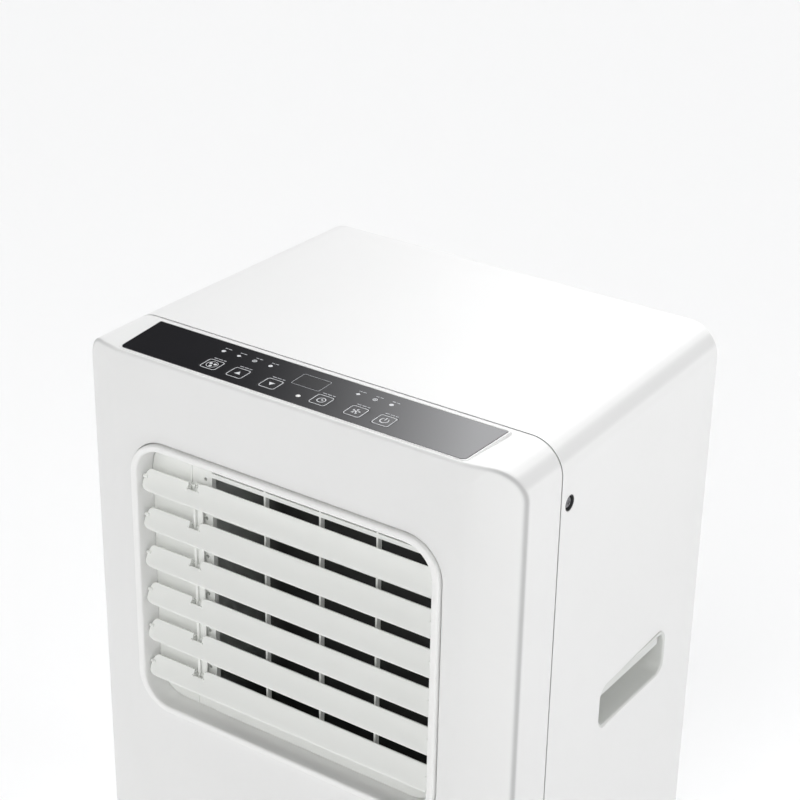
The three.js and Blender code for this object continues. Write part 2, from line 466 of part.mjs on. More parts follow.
function cassette(x0, x1, z0, z1, nx, nz) {
  let s = prismY(rounded(x0, x1, z0, z1, 5, 3), SY(259), SY(267.4));
  const w = (x1 - x0 - 16) / nx;
  const h = (z1 - z0 - 16) / nz;
  for (let i = 0; i < nx; i += 1) {
    for (let k = 0; k < nz; k += 1) {
      const a = x0 + 8 + i * w;
      const b = z0 + 8 + k * h;
      s = s.subtract(box(a + 1.2, a + w - 1.2, SY(250), SY(280), b + 1.2, b + h - 1.2));
    }
  }
  const mid = (x0 + x1) / 2;
  // outer flange that stops the frame against the panel
  s = s.add(prismY(rounded(x0 - 4, x1 + 4, z0 - 4, z1 + 4, 8, 3), SY(265.9), SY(268)).subtract(prismY(rounded(x0 + 6, x1 - 6, z0 + 6, z1 - 6, 3, 2), SY(260), SY(270))));
  return s.add(box(mid - 20, mid + 20, SY(266), SY(272.4), z1 - 7, z1 - 3.5));
}
part('upper_filter', cassette(-FILTER_U.x, FILTER_U.x, FILTER_U.z0, FILTER_U.z1, 6, 4), 0xb9bdba, 0.6);
part('lower_filter', cassette(FILTER_L.x0, FILTER_L.x1, FILTER_L.z0, FILTER_L.z1, 4, 3), 0xb9bdba, 0.6);

const COLLAR_Y = SY(281.8);
part('exhaust_collar', lathe('y', [[DUCT.r, SY(240)], [DUCT.r + 3, SY(240)], [DUCT.r + 3, SY(266)], [DUCT.r + 15, SY(266)], [DUCT.r + 15, SY(269)],
  [DUCT.r + 6, SY(269)], [DUCT.r + 6, COLLAR_Y], [DUCT.r, COLLAR_Y], [DUCT.r, SY(240)]], DUCT.x, DUCT.z, 24), DARK, 0.55);

function plug(x, z) {
  return lathe('y', [[0, SY(250)], [4.9, SY(250)], [5.2, SY(265.9)], [11.5, SY(266.1)], [11.5, SY(268.6)], [4, SY(269.4)], [4, SY(272.6)], [0, SY(272.6)]], x, z, 12);
}
part('bottom_drain_plug', plug(40, PAN_Z + 14), BLACK, 0.8);
part('middle_drain_plug', plug(-60, 372), BLACK, 0.8);
part('cord_gland', lathe('y', [[4.2, SY(256)], [8.6, SY(256)], [8.6, SY(266)], [12.5, SY(266)], [12.5, SY(269)], [7.5, SY(272)], [4.2, SY(272)], [4.2, SY(256)]], GLAND.x, GLAND.z, 12), BLACK, 0.7);

// ------------------------------------------------------------------ upper air path
const DECK_Z = 352;
let deck = box(-206, 206, SY(-20), SY(261), DECK_Z, DECK_Z + 3).add(box(-206, 206, SY(190), SY(193), DECK_Z, DECK_Z + 26));
deck = deck.add(box(-206, 206, SY(252), SY(255), DECK_Z, DECK_Z + 8));
deck = deck.subtract(box(-140, -100, SY(60), SY(110), DECK_Z - 5, DECK_Z + 10));
part('mid_deck', deck, GREY, 0.6);

function coil(x0, x1, y0, y1, z0, z1, fins) {
  let s = box(x0 + 4, x1 - 4, y0 + 3, y1 - 3, z0, z1);
  for (let i = 0; i < fins; i += 1) {
    const x = x0 + 8 + ((x1 - x0 - 16) * i) / (fins - 1);
    s = s.add(box(x - 0.8, x + 0.8, y0, y1, z0 + 1, z1 - 1));
  }
  s = s.add(box(x0, x0 + 1.6, y0 - 2, y1 + 2, z0, z1)).add(box(x1 - 1.6, x1, y0 - 2, y1 + 2, z0, z1));
  s = s.add(box(x0 + 1, x0 + 5, y0 + 3, y1 - 3, z0, z1)).add(box(x1 - 5, x1 - 1, y0 + 3, y1 - 3, z0, z1));
  const n = Math.floor((z1 - z0) / 54);
  for (let i = 0; i < n; i += 1) {
    const z = z0 + 26 + i * 54;
    s = s.add(box(x1 - 1, x1 + 9, (y0 + y1) / 2 - 4, (y0 + y1) / 2 + 4, z - 14, z + 14).subtract(box(x1 - 2, x1 + 4, (y0 + y1) / 2 - 6, (y0 + y1) / 2 + 6, z - 7, z + 7)));
  }
  return s;
}
part('evaporator_coil', coil(-168, 150, SY(212), SY(240), 355.6, 644, 9), 0xb8bdc2, 0.35, 0.8);
part('condenser_coil', coil(-152, 10, SY(206), SY(238), 52.6, 330, 6), 0xb8bdc2, 0.35, 0.8);

// scroll: a spiral wall round the wheel with a back plate that carries the inlet
function scroll(cx, cz, r0, grow, y0, y1, inletR, mouth) {
  const outer = [];
  const inner = [];
  const n = 18;
  for (let i = 0; i <= n; i += 1) {
    const t = i / n;
    const a = THREE.MathUtils.degToRad(mouth + 290 * t);
    const r = r0 + grow * t;
    outer.push([cx + (r + 2.5) * Math.cos(a), cz + (r + 2.5) * Math.sin(a)]);
    inner.push([cx + r * Math.cos(a), cz + r * Math.sin(a)]);
  }
  const wall = prismY([...outer, ...inner.reverse()], y0, y1);
  const plateShape = outer.slice();
  const flat = prismY(plateShape, y1 - 2.5, y1).subtract(cylinder('y', inletR, y1 - 10, y1 + 10, cx, cz, 20));
  return wall.add(flat);
}
function blower(cx, cz, r, y0, y1, blades) {
  // back disc, hub, ring of vanes and a front ring
  let s = cylinder('y', r, y0, y0 + 2.5, cx, cz, 20);
  s = s.add(cylinder('y', 16, y0, y0 + 24, cx, cz, 10));
  s = s.add(cylinder('y', r, y1 - 3, y1, cx, cz, 20).subtract(cylinder('y', r - 16, y1 - 6, y1 + 3, cx, cz, 20)));
  for (let i = 0; i < blades; i += 1) {
    const a = (i / blades) * Math.PI * 2;
    const g = new THREE.BoxGeometry(12, y1 - y0 - 1, 2);
    g.translate(r - 9.5, 0, 0);
    g.rotateY(-a);
    g.translate(cx, (y0 + y1) / 2, cz);
    s = s.add(solidOf(g));
  }
  return s.subtract(cylinder('y', 4.6, y0 - 5, y1 + 5, cx, cz, 8));
}
function motor(cx, cz, y0, y1, shaftTo, armY, arms) {
  let s = lathe('y', [[0, y0], [30, y0], [38, y0 + 6], [38, y1 - 8], [26, y1 - 2], [9, y1 - 2], [9, y1], [4, y1], [4, shaftTo], [0, shaftTo]], cx, cz, 14);
  // flat spider that carries the motor on the open side of its scroll
  const [left, right, low, high] = arms;
  s = s.add(box(cx - left, cx + right, armY - 3, armY, cz - 8, cz + 8)).add(box(cx - 8, cx + 8, armY - 3, armY, cz - low, cz + high));
  return s;
}
const FAN_U = { x: 20, z: 512 };
const FAN_L = { x: 92, z: 214 };
const standU = [-50, 70].map((x) => box(x - 2, x + 2, SY(106), SY(188), DECK_Z + 3.4, FAN_U.z - 86));
const insideU = cylinder('y', 108, SY(90), SY(193.4), FAN_U.x, FAN_U.z, 18);
part('upper_fan_housing', scroll(FAN_U.x, FAN_U.z, 108, 34, SY(104), SY(196), 82, 100).add(join(standU).subtract(insideU)), 0x2f3135, 0.6);
part('upper_blower_wheel', blower(FAN_U.x, FAN_U.z, 98, SY(112), SY(186), 12), 0x55585d, 0.55);
part('upper_fan_motor', motor(FAN_U.x, FAN_U.z, SY(36), SY(107), SY(138), SY(103.7), [120, 141, 131, 30]), STEEL, 0.4, 0.7);
const standL = [55, 130].map((x) => box(x - 2, x + 2, SY(120), SY(186), PAN_Z + 4.4, FAN_L.z - 70));
const insideL = cylinder('y', 82, SY(100), SY(185.4), FAN_L.x, FAN_L.z, 18);
part('lower_fan_housing', scroll(FAN_L.x, FAN_L.z, 82, 22, SY(118), SY(188), 62, 60).add(join(standL).subtract(insideL)), 0x2f3135, 0.6);
part('lower_blower_wheel', blower(FAN_L.x, FAN_L.z, 74, SY(124), SY(180), 10), 0x55585d, 0.55);
part('lower_fan_motor', motor(FAN_L.x, FAN_L.z, SY(52), SY(120), SY(146), SY(117.7), [93, 106, 100, 86]), STEEL, 0.4, 0.7);

// ------------------------------------------------------------------ refrigeration set and electrics
const COMP = { x: -108, y: SY(96) };
let comp = lathe('z', [[0, 104], [46, 104], [58, 112], [60, 122], [60, 262], [56, 280], [40, 294], [16, 300], [0, 300]], COMP.x, COMP.y, 18);
comp = comp.add(prismZ(rounded(COMP.x - 72, COMP.x + 72, COMP.y - 72, COMP.y + 78, 26, 2), 98, 106));
for (const [dx, dy] of [[-56, -56], [56, -56], [0, 67]]) comp = comp.subtract(cylinder('z', 5.6, 90, 115, COMP.x + dx, COMP.y + dy, 8));
// suction accumulator, strapped to the compressor's side
comp = comp.add(lathe('z', [[0, 150], [12, 150], [22, 158], [22, 250], [12, 262], [0, 262]], COMP.x + 20, COMP.y - 88, 12).add(cylinder('z', 5, 255, 276, COMP.x + 20, COMP.y - 88, 8)));
comp = comp.add(box(COMP.x + 8, COMP.x + 18, COMP.y - 80, COMP.y - 50, 190, 214));
part('compressor', comp, 0x1d1e21, 0.4, 0.3);
let foot = 1;
for (const [dx, dy] of [[-56, -56], [56, -56], [0, 67]]) {
  const fx = COMP.x + dx;
  const fy = COMP.y + dy;
  part(`compressor_grommet_${foot}`, lathe('z', [[0, PAN_Z + 4.3], [11, PAN_Z + 4.3], [11, 97.7], [5, 97.7], [5, 106.3], [8, 106.3], [8, 109], [0, 109]], fx, fy, 10), BLACK, 0.85);
  foot += 1;
}
part('suction_pipe', tube([[COMP.x + 20, COMP.y - 88, 276.6], [COMP.x + 20, COMP.y - 88, 330], [-120, SY(76), 345], [-122, SY(88), 366], [-146, SY(130), 378], [-170, SY(190), 384], [-182, SY(222), 398], [-179, SY(226), 408], [-169.8, SY(226), 408]], 4.6, 22, 6), COPPER, 0.3, 0.9);
part('discharge_pipe', tube([[COMP.x, COMP.y, 300.6], [COMP.x, COMP.y, 322], [-150, SY(120), 336], [-168, SY(176), 328], [-170, SY(212), 308], [-163, SY(222), 300], [-153.6, SY(222), 300]], 4, 20, 6), COPPER, 0.3, 0.9);

let ebox = box(152, 205, SY(16), SY(100), 440, 596).subtract(box(154.5, 202.5, SY(18.5), SY(97.5), 442.5, 610));
ebox = ebox.subtract(box(150, 156, SY(60), SY(80), 450, 460));
ebox = ebox.add(box(201.5, 205, SY(16), SY(86), DECK_Z + 3.4, 444));
part('electrical_box', ebox, STEEL, 0.5, 0.6);
part('electrical_box_cover', box(151, 205.6, SY(15), SY(101), 596.3, 598.6).add(box(156, 201, SY(20), SY(96), 592, 597)), STEEL, 0.5, 0.6);
part('run_capacitor', cylinder('z', 18, 443, 500, 178, SY(44), 12).add(cylinder('z', 6, 499, 506, 178, SY(44), 6)), 0xd8d8d4, 0.4, 0.2);

export default cabinet;
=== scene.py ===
import json
import math

import bmesh
import bpy
from mathutils import Matrix, Vector

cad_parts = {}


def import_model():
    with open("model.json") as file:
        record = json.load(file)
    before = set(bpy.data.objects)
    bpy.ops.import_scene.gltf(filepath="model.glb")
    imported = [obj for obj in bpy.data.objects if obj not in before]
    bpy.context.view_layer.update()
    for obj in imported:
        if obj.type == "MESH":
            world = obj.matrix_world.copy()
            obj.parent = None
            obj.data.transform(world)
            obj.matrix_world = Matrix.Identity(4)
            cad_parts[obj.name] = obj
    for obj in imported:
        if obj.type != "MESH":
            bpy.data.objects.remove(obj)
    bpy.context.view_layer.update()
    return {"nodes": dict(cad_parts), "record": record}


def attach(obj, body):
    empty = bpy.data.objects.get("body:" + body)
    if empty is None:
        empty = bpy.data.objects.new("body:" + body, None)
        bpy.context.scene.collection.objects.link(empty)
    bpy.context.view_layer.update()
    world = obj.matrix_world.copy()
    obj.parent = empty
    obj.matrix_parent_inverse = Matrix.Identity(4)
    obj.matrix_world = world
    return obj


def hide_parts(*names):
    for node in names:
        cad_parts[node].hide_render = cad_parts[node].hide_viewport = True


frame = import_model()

NODES = frame["nodes"]
SLOT = {s["node"]: s.get("material_slot") for s in frame["record"]["subparts"]}
COL = bpy.context.scene.collection
MM = 0.001

# ---------------------------------------------------------------- dimensions, mm, as in the CAD
TOP, HALF_W, SEAM_Y, FACE, BACK, BACK_DRAFT = 697.5, 217.0, -102.8, -71.6, 273.0, 6.4
CORNER_R, WALL, SKIRT_Z, SEAM_GAP, RIDGE_Y = 29.0, 3.0, 28.0, 1.2, -49.5
CREASE_TOP, CREASE_BOTTOM = 177.0, 160.0
STRIP_BACK, STRIP_FRONT, STRIP_W_BACK, STRIP_W_FRONT = -10.5, -66.2, 173.4, 169.7
STRIP_RISE_BACK, STRIP_RISE_FRONT = 2.5, 0.5
KEY_X = [-85.4, -58.4, -25.0, 25.0, 58.4, 85.4]
KEY_Y, KEY_SIDE = -49.5, 16.6
KEY_NAMES = ["key_mode", "key_up", "key_down", "key_timer", "key_fan", "key_power"]
LIP_W, LIP_TOP, LIP_BOTTOM, LIP_R, LIP_PROUD = 156.5, -74.9, -339.3, 34.0, 4.6
OPEN_W, OPEN_TOP, OPEN_BOTTOM, OPEN_R, DUCT_DEPTH = 149.5, -81.2, -333.0, 27.0, 44.0
LOUVRES, LOUVRE_PITCH, LOUVRE_Z, LOUVRE_DEPTH, LOUVRE_LEAN = 6, 37.0, -113.0, 4.5, 25.5
BLADE_UP, BLADE_DOWN, BLADE_W, PIN_R, CRANK, LINK_X = 10.2, 12.9, 147.7, 2.0, 7.5, -96.0


def SY(s):
    return SEAM_Y + s


def TZ(t):
    return TOP + t


# ---------------------------------------------------------------- camera
def camera():
    az, el, roll = math.radians(34.28), math.radians(25.908), math.radians(1.095)
    back = Vector((math.sin(az) * math.cos(el), -math.cos(az) * math.cos(el), math.sin(el)))
    xc = Vector((0, 0, 1)).cross(back).normalized()
    yc = back.cross(xc)
    x = math.cos(roll) * xc + math.sin(roll) * yc
    y = -math.sin(roll) * xc + math.cos(roll) * yc
    cam = bpy.data.cameras.new("camera")
    cam.sensor_width = 36.0
    cam.lens = 91.61
    cam.clip_start, cam.clip_end = 0.05, 60.0
    ob = bpy.data.objects.new("camera", cam)
    rot = Matrix((x, y, back)).transposed().to_4x4()
    ob.matrix_world = Matrix.Translation(Vector((0.88366, -1.3026, 1.39657))) @ rot
    COL.objects.link(ob)
    bpy.context.scene.camera = ob


camera()


# ---------------------------------------------------------------- materials
def surface(name, base, rough, metallic=0.0, grain=900.0, bump=0.0, vary=0.02, rough_vary=0.04,
            coat=0.0, tint=None, streak=None, ior=1.5, edge=None, band=0.0, painted_light_fade=None):
    m = bpy.data.materials.new(name)
    m.use_nodes = True
    nt = m.node_tree
    nt.nodes.clear()
    out = nt.nodes.new("ShaderNodeOutputMaterial")
    b = nt.nodes.new("ShaderNodeBsdfPrincipled")
    nt.links.new(b.outputs[0], out.inputs[0])
    co = nt.nodes.new("ShaderNodeTexCoord")
    src = co.outputs["Object"]
    if streak:
        mp = nt.nodes.new("ShaderNodeMapping")
        mp.inputs["Scale"].default_value = streak
        nt.links.new(src, mp.inputs[0])
        src = mp.outputs[0]
    broad = nt.nodes.new("ShaderNodeTexNoise")
    broad.inputs["Scale"].default_value = 9.0
    broad.inputs["Detail"].default_value = 3.0
    nt.links.new(src, broad.inputs["Vector"])
    ramp = nt.nodes.new("ShaderNodeValToRGB")
    lo = [max(0.0, c * (1 - vary)) for c in base]
    hi = [min(1.0, c * (1 + vary)) for c in (tint or base)]
    ramp.color_ramp.elements[0].position = 0.3
    ramp.color_ramp.elements[1].position = 0.7
    ramp.color_ramp.elements[0].color = (*lo, 1)
    ramp.color_ramp.elements[1].color = (*hi, 1)
    nt.links.new(broad.outputs[0], ramp.inputs[0])
    colour = ramp.outputs[0]
    # painted shade: the colour is mixed toward the edge colour by the mesh's "edge" weight, darkening the ridge
    if edge:
        at = nt.nodes.new("ShaderNodeAttribute")
        at.attribute_name = "edge"
        mx = nt.nodes.new("ShaderNodeMix")
        mx.data_type = "RGBA"
        nt.links.new(at.outputs["Fac"], mx.inputs[0])
        nt.links.new(colour, mx.inputs[6])
        mx.inputs[7].default_value = (*edge, 1)
        colour = mx.outputs[2]
    if band:
        # painted dark reflection: a darker band where the top rounds over into the right side, picked out by the
        # surface normal
        geo = nt.nodes.new("ShaderNodeNewGeometry")
        tilt = nt.nodes.new("ShaderNodeVectorMath")
        tilt.operation = "DOT_PRODUCT"
        tilt.inputs[1].default_value = (0.83, 0.0, 0.558)
        nt.links.new(geo.outputs["Normal"], tilt.inputs[0])
        near = nt.nodes.new("ShaderNodeMapRange")
        near.interpolation_type = "SMOOTHSTEP"
        near.inputs["From Min"].default_value = 0.962
        near.inputs["From Max"].default_value = 1.0
        near.inputs["To Min"].default_value = 0.0
        near.inputs["To Max"].default_value = band
        nt.links.new(tilt.outputs["Value"], near.inputs["Value"])
        bx = nt.nodes.new("ShaderNodeMix")
        bx.data_type = "RGBA"
        nt.links.new(near.outputs[0], bx.inputs[0])
        nt.links.new(colour, bx.inputs[6])
        bx.inputs[7].default_value = (0.5, 0.5, 0.5, 1)
        colour = bx.outputs[2]
    if painted_light_fade:
        # painted light: paler towards the left end of the duct, standing in for light that reaches in there
        pos = nt.nodes.new("ShaderNodeTexCoord")
        sep = nt.nodes.new("ShaderNodeSeparateXYZ")
        nt.links.new(pos.outputs["Object"], sep.inputs[0])
        near = nt.nodes.new("ShaderNodeMapRange")
        near.interpolation_type = "SMOOTHSTEP"
        near.inputs["From Min"].default_value = -0.150
        near.inputs["From Max"].default_value = -0.070
        near.inputs["To Min"].default_value = 1.0
        near.inputs["To Max"].default_value = 0.0
        nt.links.new(sep.outputs["X"], near.inputs["Value"])
        fx = nt.nodes.new("ShaderNodeMix")
        fx.data_type = "RGBA"
        nt.links.new(near.outputs[0], fx.inputs[0])
        nt.links.new(colour, fx.inputs[6])
        fx.inputs[7].default_value = (*painted_light_fade, 1)
        colour = fx.outputs[2]
    nt.links.new(colour, b.inputs["Base Color"])
    fine = nt.nodes.new("ShaderNodeTexNoise")
    fine.inputs["Scale"].default_value = grain
    fine.inputs["Detail"].default_value = 2.0
    nt.links.new(src, fine.inputs["Vector"])
    rr = nt.nodes.new("ShaderNodeMapRange")
    rr.inputs["To Min"].default_value = max(0.0, rough - rough_vary)
    rr.inputs["To Max"].default_value = min(1.0, rough + rough_vary)
    nt.links.new(fine.outputs[0], rr.inputs["Value"])
    nt.links.new(rr.outputs[0], b.inputs["Roughness"])
    if bump > 0:
        bp = nt.nodes.new("ShaderNodeBump")
        bp.inputs["Strength"].default_value = bump
        bp.inputs["Distance"].default_value = 0.0002
        nt.links.new(fine.outputs[0], bp.inputs["Height"])
        nt.links.new(bp.outputs[0], b.inputs["Normal"])
    b.inputs["Metallic"].default_value = metallic
    b.inputs["IOR"].default_value = ior
    if coat:
        b.inputs["Coat Weight"].default_value = coat
        b.inputs["Coat Roughness"].default_value = 0.04
    return m


M = {
    # white_abs: band=0.38 is a painted dark reflection along the top-right rounding
    "white_abs": surface("white_abs", (0.80, 0.80, 0.795), 0.34, grain=1500, bump=0.05, vary=0.006, rough_vary=0.03, band=0.38, ior=1.4),
    # bezel_abs: a brighter copy of the white plastic, painted light on the shaded bezel
    "bezel_abs": surface("bezel_abs", (0.87, 0.87, 0.86), 0.36, grain=1500, bump=0.05, vary=0.006, rough_vary=0.03, ior=1.4),
    # front_abs: edge paints shade along the ridge, and band paints a dark reflection along the top-right rounding
    "front_abs": surface("front_abs", (0.80, 0.80, 0.795), 0.34, grain=1500, bump=0.05, vary=0.006, rough_vary=0.03, edge=(0.48, 0.48, 0.48), band=0.38, ior=1.4),
    "cup_grey": surface("cup_grey", (0.05, 0.05, 0.052), 0.5, grain=1100, bump=0.3, vary=0.05),
    # duct_black: its fade colour is painted light, paler at the duct's left end
    "duct_black": surface("duct_black", (0.02, 0.021, 0.02), 0.7, grain=700, bump=0.4, vary=0.2, painted_light_fade=(0.62, 0.64, 0.62)),
    # louvre_abs: a brighter copy of the white plastic, painted light on the shaded blades and their pins
    "louvre_abs": surface("louvre_abs", (0.84, 0.85, 0.825), 0.38, grain=1500, bump=0.05, vary=0.008, rough_vary=0.03),
    "grey_abs": surface("grey_abs", (0.66, 0.67, 0.65), 0.5, grain=1100, bump=0.35, vary=0.02),
    "strip_black": surface("strip_black", (0.012, 0.012, 0.014), 0.06, grain=600, bump=0.01, vary=0.15, rough_vary=0.015, ior=1.52),
    "key_black": surface("key_black", (0.012, 0.012, 0.014), 0.08, grain=600, bump=0.012, vary=0.15, rough_vary=0.015, ior=1.52),
    "window": surface("window", (0.003, 0.003, 0.004), 0.16, grain=500, bump=0.0, vary=0.2, rough_vary=0.01, ior=1.45),
    "ir": surface("ir", (0.82, 0.82, 0.80), 0.2, grain=800, bump=0.02, vary=0.03),
    "board": surface("board", (0.03, 0.14, 0.06), 0.4, grain=260, bump=0.2, vary=0.3, tint=(0.05, 0.2, 0.08)),
    "dark_plastic": surface("dark_plastic", (0.045, 0.046, 0.05), 0.52, grain=1200, bump=0.35, vary=0.08),
    "rubber": surface("rubber", (0.02, 0.02, 0.02), 0.75, grain=900, bump=0.3, vary=0.15),
    "coil_fin": surface("coil_fin", (0.52, 0.54, 0.56), 0.34, metallic=1.0, grain=700, bump=0.3, vary=0.08, streak=(14, 1, 1)),
    "sheet_steel": surface("sheet_steel", (0.5, 0.51, 0.53), 0.38, metallic=1.0, grain=160, bump=0.12, vary=0.12, rough_vary=0.1),
    "screw_steel": surface("screw_steel", (0.24, 0.24, 0.25), 0.5, metallic=0.3, grain=900, bump=0.15, vary=0.1, rough_vary=0.08),
    "copper": surface("copper", (0.72, 0.3, 0.16), 0.28, metallic=1.0, grain=420, bump=0.06, vary=0.12, tint=(0.8, 0.4, 0.22), rough_vary=0.08),
    "comp_paint": surface("comp_paint", (0.012, 0.012, 0.013), 0.32, grain=420, bump=0.25, vary=0.2, rough_vary=0.06),
    "cap_body": surface("cap_body", (0.62, 0.62, 0.6), 0.3, metallic=1.0, grain=300, bump=0.06, vary=0.05, streak=(1, 1, 12)),
    "filter": surface("filter", (0.19, 0.2, 0.2), 0.6, grain=1000, bump=0.3, vary=0.06),
    "blower": surface("blower", (0.05, 0.052, 0.056), 0.5, grain=900, bump=0.25, vary=0.08),
    "tyre": surface("tyre", (0.03, 0.03, 0.032), 0.45, grain=900, bump=0.25, vary=0.1),
    "print": surface("print", (0.62, 0.63, 0.65), 0.4, grain=1800, bump=0.02, vary=0.04),
    "print_dim": surface("print_dim", (0.36, 0.37, 0.39), 0.4, grain=1800, bump=0.02, vary=0.06),
    "net": surface("net", (0.07, 0.075, 0.075), 0.7, grain=2200, bump=0.3, vary=0.1),
}


def paint(ob, key):
    ob.data.materials.clear()
    ob.data.materials.append(M[key])
    return ob


# ---------------------------------------------------------------- mesh helpers (millimetres in, metres out)
def make(name, verts, faces, key="white_abs"):
    me = bpy.data.meshes.new(name)
    me.from_pydata([(x * MM, y * MM, z * MM) for x, y, z in verts], [], faces)
    ob = bpy.data.objects.new(name, me)
    COL.objects.link(ob)
    bm = bmesh.new()
    bm.from_mesh(me)
    bmesh.ops.remove_doubles(bm, verts=bm.verts, dist=2e-6)
    bmesh.ops.recalc_face_normals(bm, faces=bm.faces)
    bm.to_mesh(me)
    bm.free()
    me.validate()
    return paint(ob, key)


def bake(ob):
    dg = bpy.context.evaluated_depsgraph_get()
    dg.update()
    me = bpy.data.meshes.new_from_object(ob.evaluated_get(dg), depsgraph=dg)
    old = ob.data
    ob.modifiers.clear()
    ob.data = me
    me.name = ob.name
    bpy.data.meshes.remove(old)
    return ob


def boolean(ob, tools, op="DIFFERENCE", solver="EXACT"):
    for t in tools:
        md = ob.modifiers.new("cut", "BOOLEAN")
        md.operation = op
        md.solver = solver
        md.object = t
    bake(ob)
    for t in tools:
        bpy.data.objects.remove(t)
    return ob


def bevel(ob, width, segments=3, angle=35.0, now=True, clamp=False):
    md = ob.modifiers.new("edge", "BEVEL")
    md.width = width * MM
    md.segments = segments
    md.limit_method = "ANGLE"
    md.angle_limit = math.radians(angle)
    md.use_clamp_overlap = clamp
    md.miter_outer = "MITER_ARC"
    if now:
        bake(ob)
    return ob


def soft(ob, angle=40.0, weighted=True):
    me = ob.data
    me.polygons.foreach_set("use_smooth", [True] * len(me.polygons))
    me.set_sharp_from_angle(angle=math.radians(angle))
    if weighted:
        md = ob.modifiers.new("shade", "WEIGHTED_NORMAL")
        md.keep_sharp = True
        md.weight = 50
    return ob


def rounded(x0, x1, y0, y1, r, n=8):
    out = []
    for cx, cy, a0 in ((x1 - r, y0 + r, -90), (x1 - r, y1 - r, 0), (x0 + r, y1 - r, 90), (x0 + r, y0 + r, 180)):
        for i in range(n + 1):
            a = math.radians(a0 + 90 * i / n)
            out.append((cx + r * math.cos(a), cy + r * math.sin(a)))
    return out


def to3(axis, h, a, b):
    return {"x": (h, a, b), "y": (a, h, b), "z": (a, b, h)}[axis]


def prism(name, axis, outline, h0, h1, key="white_abs"):
    n = len(outline)
    verts = [to3(axis, h0, a, b) for a, b in outline] + [to3(axis, h1, a, b) for a, b in outline]
    faces = [tuple(range(n)), tuple(range(n, 2 * n))]
    faces += [(i, (i + 1) % n, n + (i + 1) % n, n + i) for i in range(n)]
    return make(name, verts, faces, key)


def block(name, x0, x1, y0, y1, z0, z1, key="white_abs"):
    return prism(name, "z", [(x0, y0), (x1, y0), (x1, y1), (x0, y1)], z0, z1, key)


def disc(cx, cy, r, n=32):
    return [(cx + r * math.cos(2 * math.pi * i / n), cy + r * math.sin(2 * math.pi * i / n)) for i in range(n)]


def loft(name, rings, key="white_abs", closed=True, caps=True):
    n = len(rings[0])
    verts = [p for r in rings for p in r]
    faces = []
    last = len(rings) if not caps and closed == "loop" else len(rings) - 1
    for k in range(last):
        a, b = k * n, ((k + 1) % len(rings)) * n
        for i in range(n):
            j = (i + 1) % n
            faces.append((a + i, a + j, b + j, b + i))
    if caps:
        faces.append(tuple(range(n)))
        faces.append(tuple(range((len(rings) - 1) * n, len(rings) * n)))
    return make(name, verts, faces, key)


def lathe(name, profile, axis, a, b, key, n=64):
    """A closed (radius, height) profile, spun about the axis through (a, b)."""
    verts, faces = [], []
    k = len(profile)
    for i in range(n):
        c, s = math.cos(2 * math.pi * i / n), math.sin(2 * math.pi * i / n)
        for r, h in profile:
            verts.append(to3(axis, h, a + r * c, b + r * s))
    for i in range(n):
        j = (i + 1) % n
        for q in range(k):
            t = (q + 1) % k
            if profile[q][0] < 1e-6 and profile[t][0] < 1e-6:
                continue
            faces.append((i * k + q, i * k + t, j * k + t, j * k + q))
    me = bpy.data.meshes.new(name)
    me.from_pydata([(x * MM, y * MM, z * MM) for x, y, z in verts], [], faces)
    ob = bpy.data.objects.new(name, me)
    COL.objects.link(ob)
    bm = bmesh.new()
    bm.from_mesh(me)
    bmesh.ops.remove_doubles(bm, verts=bm.verts, dist=2e-6)
    bmesh.ops.recalc_face_normals(bm, faces=bm.faces)
    bm.to_mesh(me)
    bm.free()
    return paint(ob, key)


def rounded_profile(points, r=0.6, n=3):
    """Rounds each convex or concave corner of a closed (radius, height) outline."""
    out = []
    k = len(points)
    for i in range(k):
        p0, p1, p2 = (Vector(points[(i + d) % k]) for d in (-1, 0, 1))
        if p1.x < 1e-6:
            out.append(tuple(p1))
            continue
        a, b = p0 - p1, p2 - p1
        la, lb = a.length, b.length
        if la < 1e-6 or lb < 1e-6:
            continue
        q = min(r, la * 0.45, lb * 0.45)
        s, e = p1 + a / la * q, p1 + b / lb * q
        for t in range(n + 1):
            u = t / n
            v = s * (1 - u) ** 2 + p1 * (2 * u * (1 - u)) + e * u * u
            out.append((v.x, v.y))
    return out


def stand_for(ob, node, body=None):
    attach(ob, body or frame_body(node))
    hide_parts(node)
    return ob


BODY_OF = {n: b for b, ns in frame["record"]["behaviour"]["bodies"].items() for n in ns}


def frame_body(node):
    return BODY_OF[node]


def trim(ob, body):
    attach(ob, body)
    return ob


# ---------------------------------------------------------------- front housing
def hole_outline(o, n_arc=14):
    """Outlet outline, o millimetres outside the bead's outer edge: half width, top, bottom and corner radius."""
    k = (LIP_TOP - OPEN_TOP) / (LIP_W - OPEN_W)
    x, zt, zb, r = LIP_W + o, TZ(LIP_TOP) + o * k, TZ(LIP_BOTTOM) - o * k, max(LIP_R + o, 1.0)
    return x, zt, zb, r


def ring_points(x, zt, zb, r, counts, sq=False):
    """Walks a rounded rectangle from the middle of its bottom edge, counterclockwise seen from the front."""
    n_half, n_side, n_top, n_arc = counts
    pts = []

    def line(a, b, n):
        for i in range(n):
            t = i / n
            pts.append((a[0] + (b[0] - a[0]) * t, a[1] + (b[1] - a[1]) * t))

    def corner(cx, cz, a0):
        for i in range(n_arc):
            a = math.radians(a0 + 90 * i / n_arc)
            pts.append((cx + r * math.cos(a), cz + r * math.sin(a)))

    line((0, zb), (x - r, zb), n_half)
    corner(x - r, zb + r, -90)
    line((x, zb + r), (x, zt - r), n_side)
    corner(x - r, zt - r, 0)
    line((x - r, zt), (-x + r, zt), n_top)
    corner(-x + r, zt - r, 90)
    line((-x, zt - r), (-x, zb + r), n_side)
    corner(-x + r, zb + r, 180)
    line((-x + r, zb), (0, zb), n_half)
    return pts


COUNTS = (10, 24, 20, 14)


